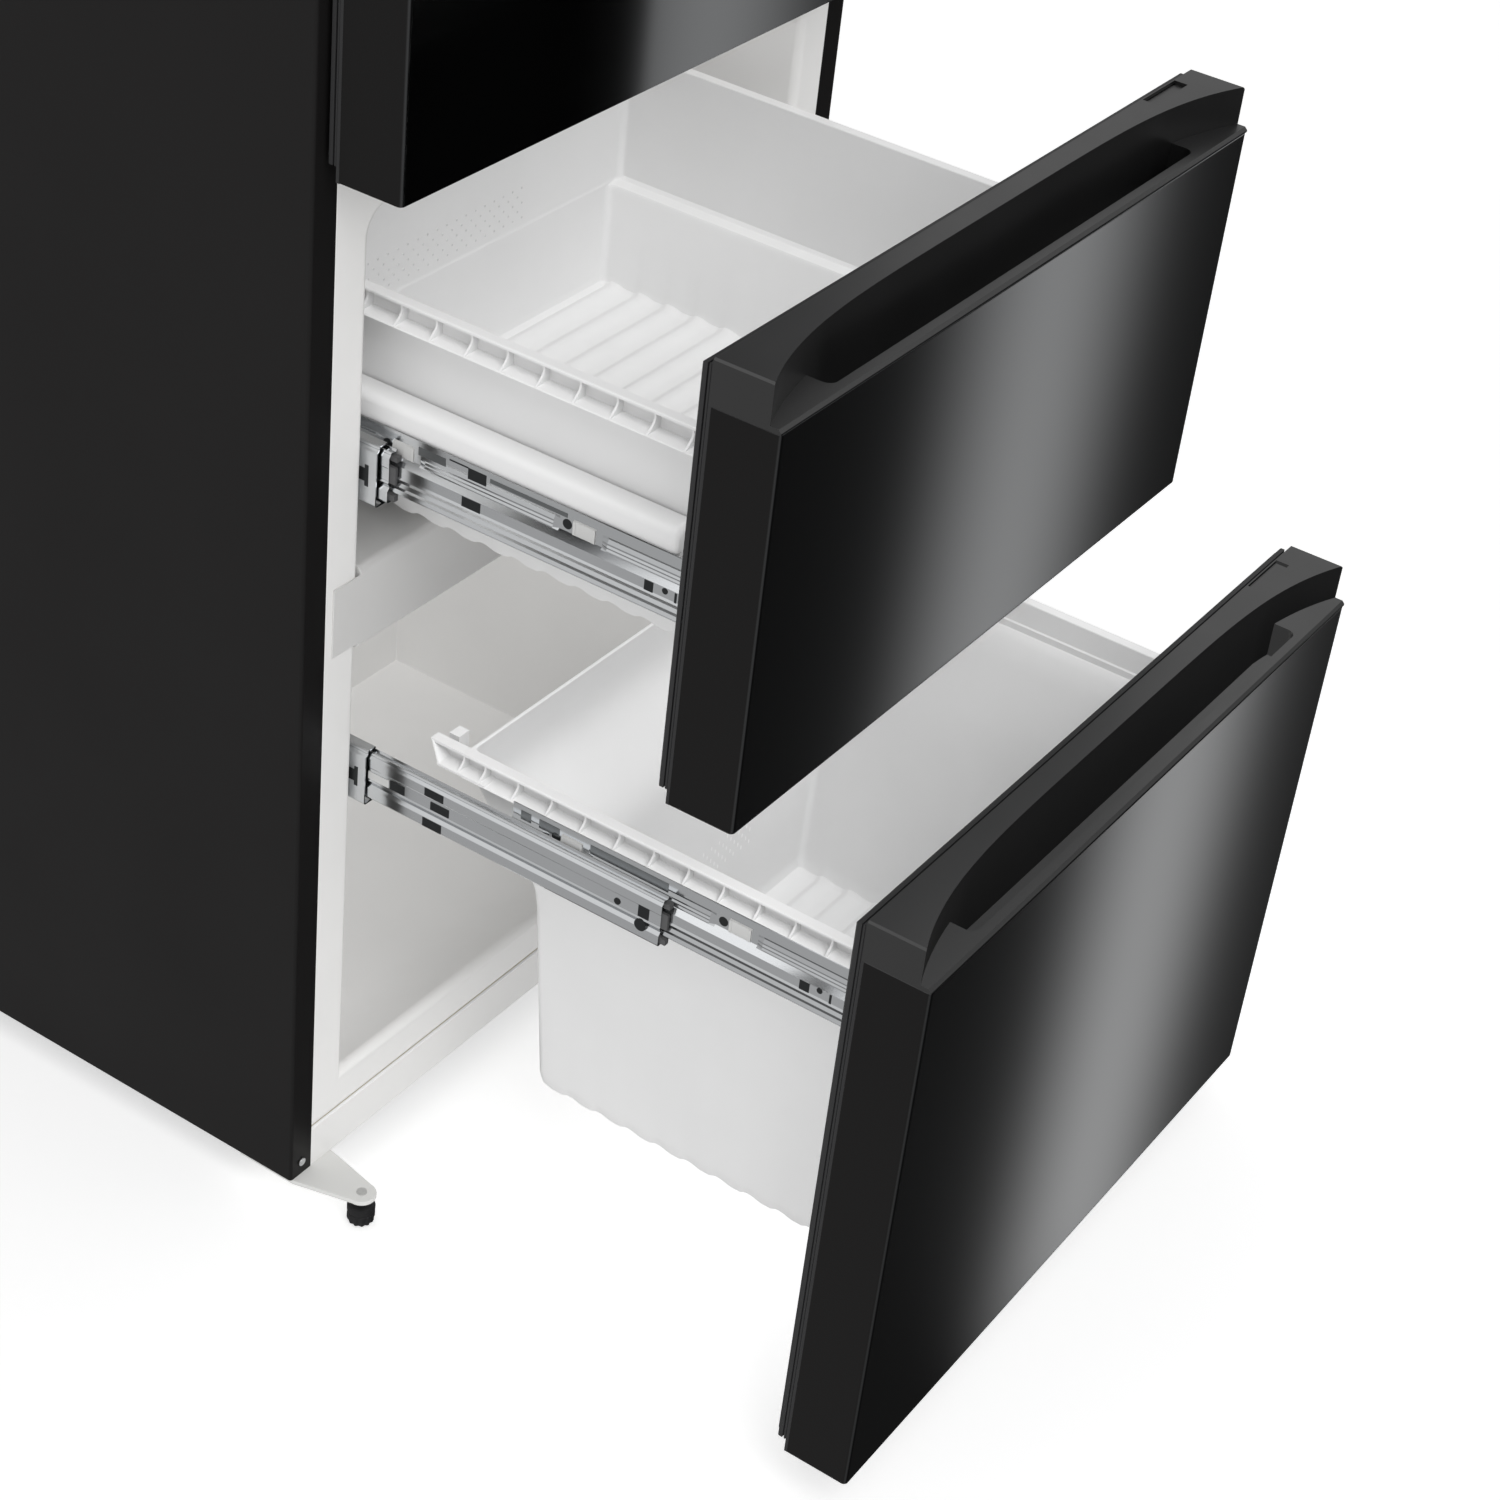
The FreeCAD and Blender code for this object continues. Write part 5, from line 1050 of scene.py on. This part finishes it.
LINER_FILL_NODES = ("freezer_liner", "evaporator_cover", "kick_strip", "foot_brackets")
UPPER_FILL = 1.45
UPPER_FILL_FROM = Vector((-0.25, -0.35, 0.9))
LOWER_FILL = 2.0
LOWER_FILL_FROM = Vector((-0.15, -0.56, 0.81))
AMBIENT = 0.49
MIRRORED_PARTS = ("upper_drawer_skin", "upper_trim")

# What mirrors see of the world: limits of a direction's upward or rightward part, and the glow at each.
CEILING_LIMITS = (0.05, 0.75)
CEILING_GLOW = (0.0, 1.5)
LEFT_LIMITS = (0.1, -0.6)
LEFT_GLOW = (0.03, 0.57)

CAMERA_SENSOR = 36.0
CAMERA_LENS = 74.656
CAMERA_SIGHT = 100.0
CAMERA_RIGHT = (0.55731, -0.82411, 0.10121)
CAMERA_UP = (0.43119, 0.39143, 0.81293)
CAMERA_BACK = (-0.70956, -0.40941, 0.57350)
CAMERA_PLACE = (-1.88850, -1.29108, 1.9311)


def floor_piece():
    """A wide pale floor."""
    corners = [(-FLOOR_REACH, -FLOOR_REACH, 0.0), (FLOOR_REACH, -FLOOR_REACH, 0.0),
               (FLOOR_REACH, FLOOR_REACH, 0.0), (-FLOOR_REACH, FLOOR_REACH, 0.0)]
    mesh = bpy.data.meshes.new("floor")
    mesh.from_pydata(corners, [], [(0, 1, 2, 3)])
    floor = bpy.data.objects.new("floor", mesh)
    bpy.context.scene.collection.objects.link(floor)
    finish = Finish("floor_white", (0.93, 0.93, 0.93), 0.9)
    finish.set("Specular IOR Level", 0.0)
    finish.set("Emission Color", WHITE)
    finish.set("Emission Strength", FLOOR_GLOW)
    mesh.materials.append(finish.material)
    floor.visible_glossy = False
    floor.visible_shadow = False
    return floor


def area_light(name, place, target, width, height, watts):
    data = bpy.data.lights.new(name, "AREA")
    data.shape = "RECTANGLE"
    data.size = width
    data.size_y = height
    data.energy = watts
    light = bpy.data.objects.new(name, data)
    bpy.context.scene.collection.objects.link(light)
    light.location = place
    light.rotation_mode = "QUATERNION"
    light.rotation_quaternion = (target - light.location).to_track_quat("-Z", "Y")
    light.visible_camera = False
    return light


def sun_light(name, source, strength):
    data = bpy.data.lights.new(name, "SUN")
    data.energy = strength
    data.angle = SUN_ANGLE
    light = bpy.data.objects.new(name, data)
    bpy.context.scene.collection.objects.link(light)
    light.rotation_mode = "QUATERNION"
    light.rotation_quaternion = (-source).to_track_quat("-Z", "Y")
    light.visible_glossy = False
    return light


def fade_sideways(light):
    """Lets a light fade smoothly from its upright middle to its left and right edges."""
    light.data.use_nodes = True
    tree = light.data.node_tree
    place = tree.nodes.new("ShaderNodeNewGeometry")
    parts = tree.nodes.new("ShaderNodeSeparateXYZ")
    ramp = tree.nodes.new("ShaderNodeValToRGB")
    ramp.color_ramp.interpolation = "EASE"
    ramp.color_ramp.elements[0].color = BLACK
    ramp.color_ramp.elements[1].color = BLACK
    ramp.color_ramp.elements.new(0.5).color = WHITE
    tree.links.new(place.outputs["Parametric"], parts.inputs["Vector"])
    tree.links.new(parts.outputs["X"], ramp.inputs["Fac"])
    tree.links.new(ramp.outputs["Color"], tree.nodes["Emission"].inputs["Color"])


def lit_only(light, parts, shading):
    """Keeps a light to some parts, and its shadows to a few others."""
    receivers = bpy.data.collections.new(light.name + "_receivers")
    blockers = bpy.data.collections.new(light.name + "_blockers")
    for part in parts:
        receivers.objects.link(part)
    for part in shading:
        blockers.objects.link(part)
    light.light_linking.receiver_collection = receivers
    light.light_linking.blocker_collection = blockers


def studio_world():
    """White to the eye and to matte faces; mirrors see a bright ceiling, a grey left and a dark right."""
    world = bpy.data.worlds.new("studio")
    bpy.context.scene.world = world
    world.use_nodes = True
    world.cycles.sampling_method = "NONE"
    tree = world.node_tree
    tree.nodes.clear()
    output = tree.nodes.new("ShaderNodeOutputWorld")
    plain = tree.nodes.new("ShaderNodeBackground")
    mirrored = tree.nodes.new("ShaderNodeBackground")
    seen = tree.nodes.new("ShaderNodeBackground")
    mix = tree.nodes.new("ShaderNodeMixShader")
    front = tree.nodes.new("ShaderNodeMixShader")
    path = tree.nodes.new("ShaderNodeLightPath")
    place = tree.nodes.new("ShaderNodeTexCoord")
    parts = tree.nodes.new("ShaderNodeSeparateXYZ")
    upward = map_range(tree, CEILING_LIMITS, CEILING_GLOW)
    leftward = map_range(tree, LEFT_LIMITS, LEFT_GLOW)
    brighter = tree.nodes.new("ShaderNodeMath")
    brighter.operation = "MAXIMUM"
    plain.inputs["Color"].default_value = WHITE
    plain.inputs["Strength"].default_value = AMBIENT
    seen.inputs["Color"].default_value = WHITE
    seen.inputs["Strength"].default_value = 1.0
    tree.links.new(place.outputs["Generated"], parts.inputs["Vector"])
    tree.links.new(parts.outputs["Z"], upward.inputs["Value"])
    tree.links.new(parts.outputs["X"], leftward.inputs["Value"])
    tree.links.new(upward.outputs["Result"], brighter.inputs[0])
    tree.links.new(leftward.outputs["Result"], brighter.inputs[1])
    tree.links.new(brighter.outputs["Value"], mirrored.inputs["Strength"])
    tree.links.new(path.outputs["Is Glossy Ray"], mix.inputs["Fac"])
    tree.links.new(plain.outputs["Background"], mix.inputs[1])
    tree.links.new(mirrored.outputs["Background"], mix.inputs[2])
    tree.links.new(path.outputs["Is Camera Ray"], front.inputs["Fac"])
    tree.links.new(mix.outputs["Shader"], front.inputs[1])
    tree.links.new(seen.outputs["Background"], front.inputs[2])
    tree.links.new(front.outputs["Shader"], output.inputs["Surface"])


def camera():
    data = bpy.data.cameras.new("camera")
    data.sensor_width = CAMERA_SENSOR
    data.lens = CAMERA_LENS
    data.clip_end = CAMERA_SIGHT
    view = bpy.data.objects.new("camera", data)
    bpy.context.scene.collection.objects.link(view)
    columns = (CAMERA_RIGHT, CAMERA_UP, CAMERA_BACK, CAMERA_PLACE)
    rows = [tuple(column[row] for column in columns) for row in range(3)]
    view.matrix_world = Matrix(rows + [(0.0, 0.0, 0.0, 1.0)])
    bpy.context.scene.camera = view


def hide_from_mirrors(bodies):
    """Keeps the cabinet's shell and some bodies, apart from the mirrored parts, out of reflections."""
    for thing in bpy.context.scene.objects:
        body = body_of(thing)
        if body and body[0] in bodies and thing.name not in MIRRORED_PARTS:
            thing.visible_glossy = False
    nodes["outer_shell"].visible_glossy = False


pieces = bpy.data.objects
studio_floor = floor_piece()
front_light = area_light("front_light", FRONT_LIGHT_PLACE, FRONT_LIGHT_PLACE + FRONT_LIGHT_FACING,
                         *FRONT_LIGHT_SIZE, FRONT_LIGHT_WATTS)
fade_sideways(front_light)
lit_only(front_light, [nodes[name] for name in FRONT_LIGHT_NODES], [studio_floor])
area_light("key_light", KEY_PLACE, STAGE_MIDDLE, KEY_SIZE, KEY_SIZE, KEY_WATTS)
liner_fill = sun_light("liner_fill", LINER_FILL_FROM, LINER_FILL)
lit_only(liner_fill, [nodes[name] for name in LINER_FILL_NODES] + [pieces["seam_bead"]],
         [studio_floor, pieces["lower_basket_shape"]])
upper_fill = sun_light("upper_fill", UPPER_FILL_FROM, UPPER_FILL)
upper_whites = [pieces[name] for name in ("upper_basket_shape", "upper_bars", "upper_vents")]
lit_only(upper_fill, upper_whites, upper_whites)
lower_fill = sun_light("lower_fill", LOWER_FILL_FROM, LOWER_FILL)
lower_whites = [pieces[name] for name in ("lower_basket_shape", "lower_vents")]
lit_only(lower_fill, lower_whites, lower_whites)
hide_from_mirrors(["upper_drawer", "lower_drawer"])
studio_world()
camera()
bpy.context.scene.view_settings.view_transform = "Standard"
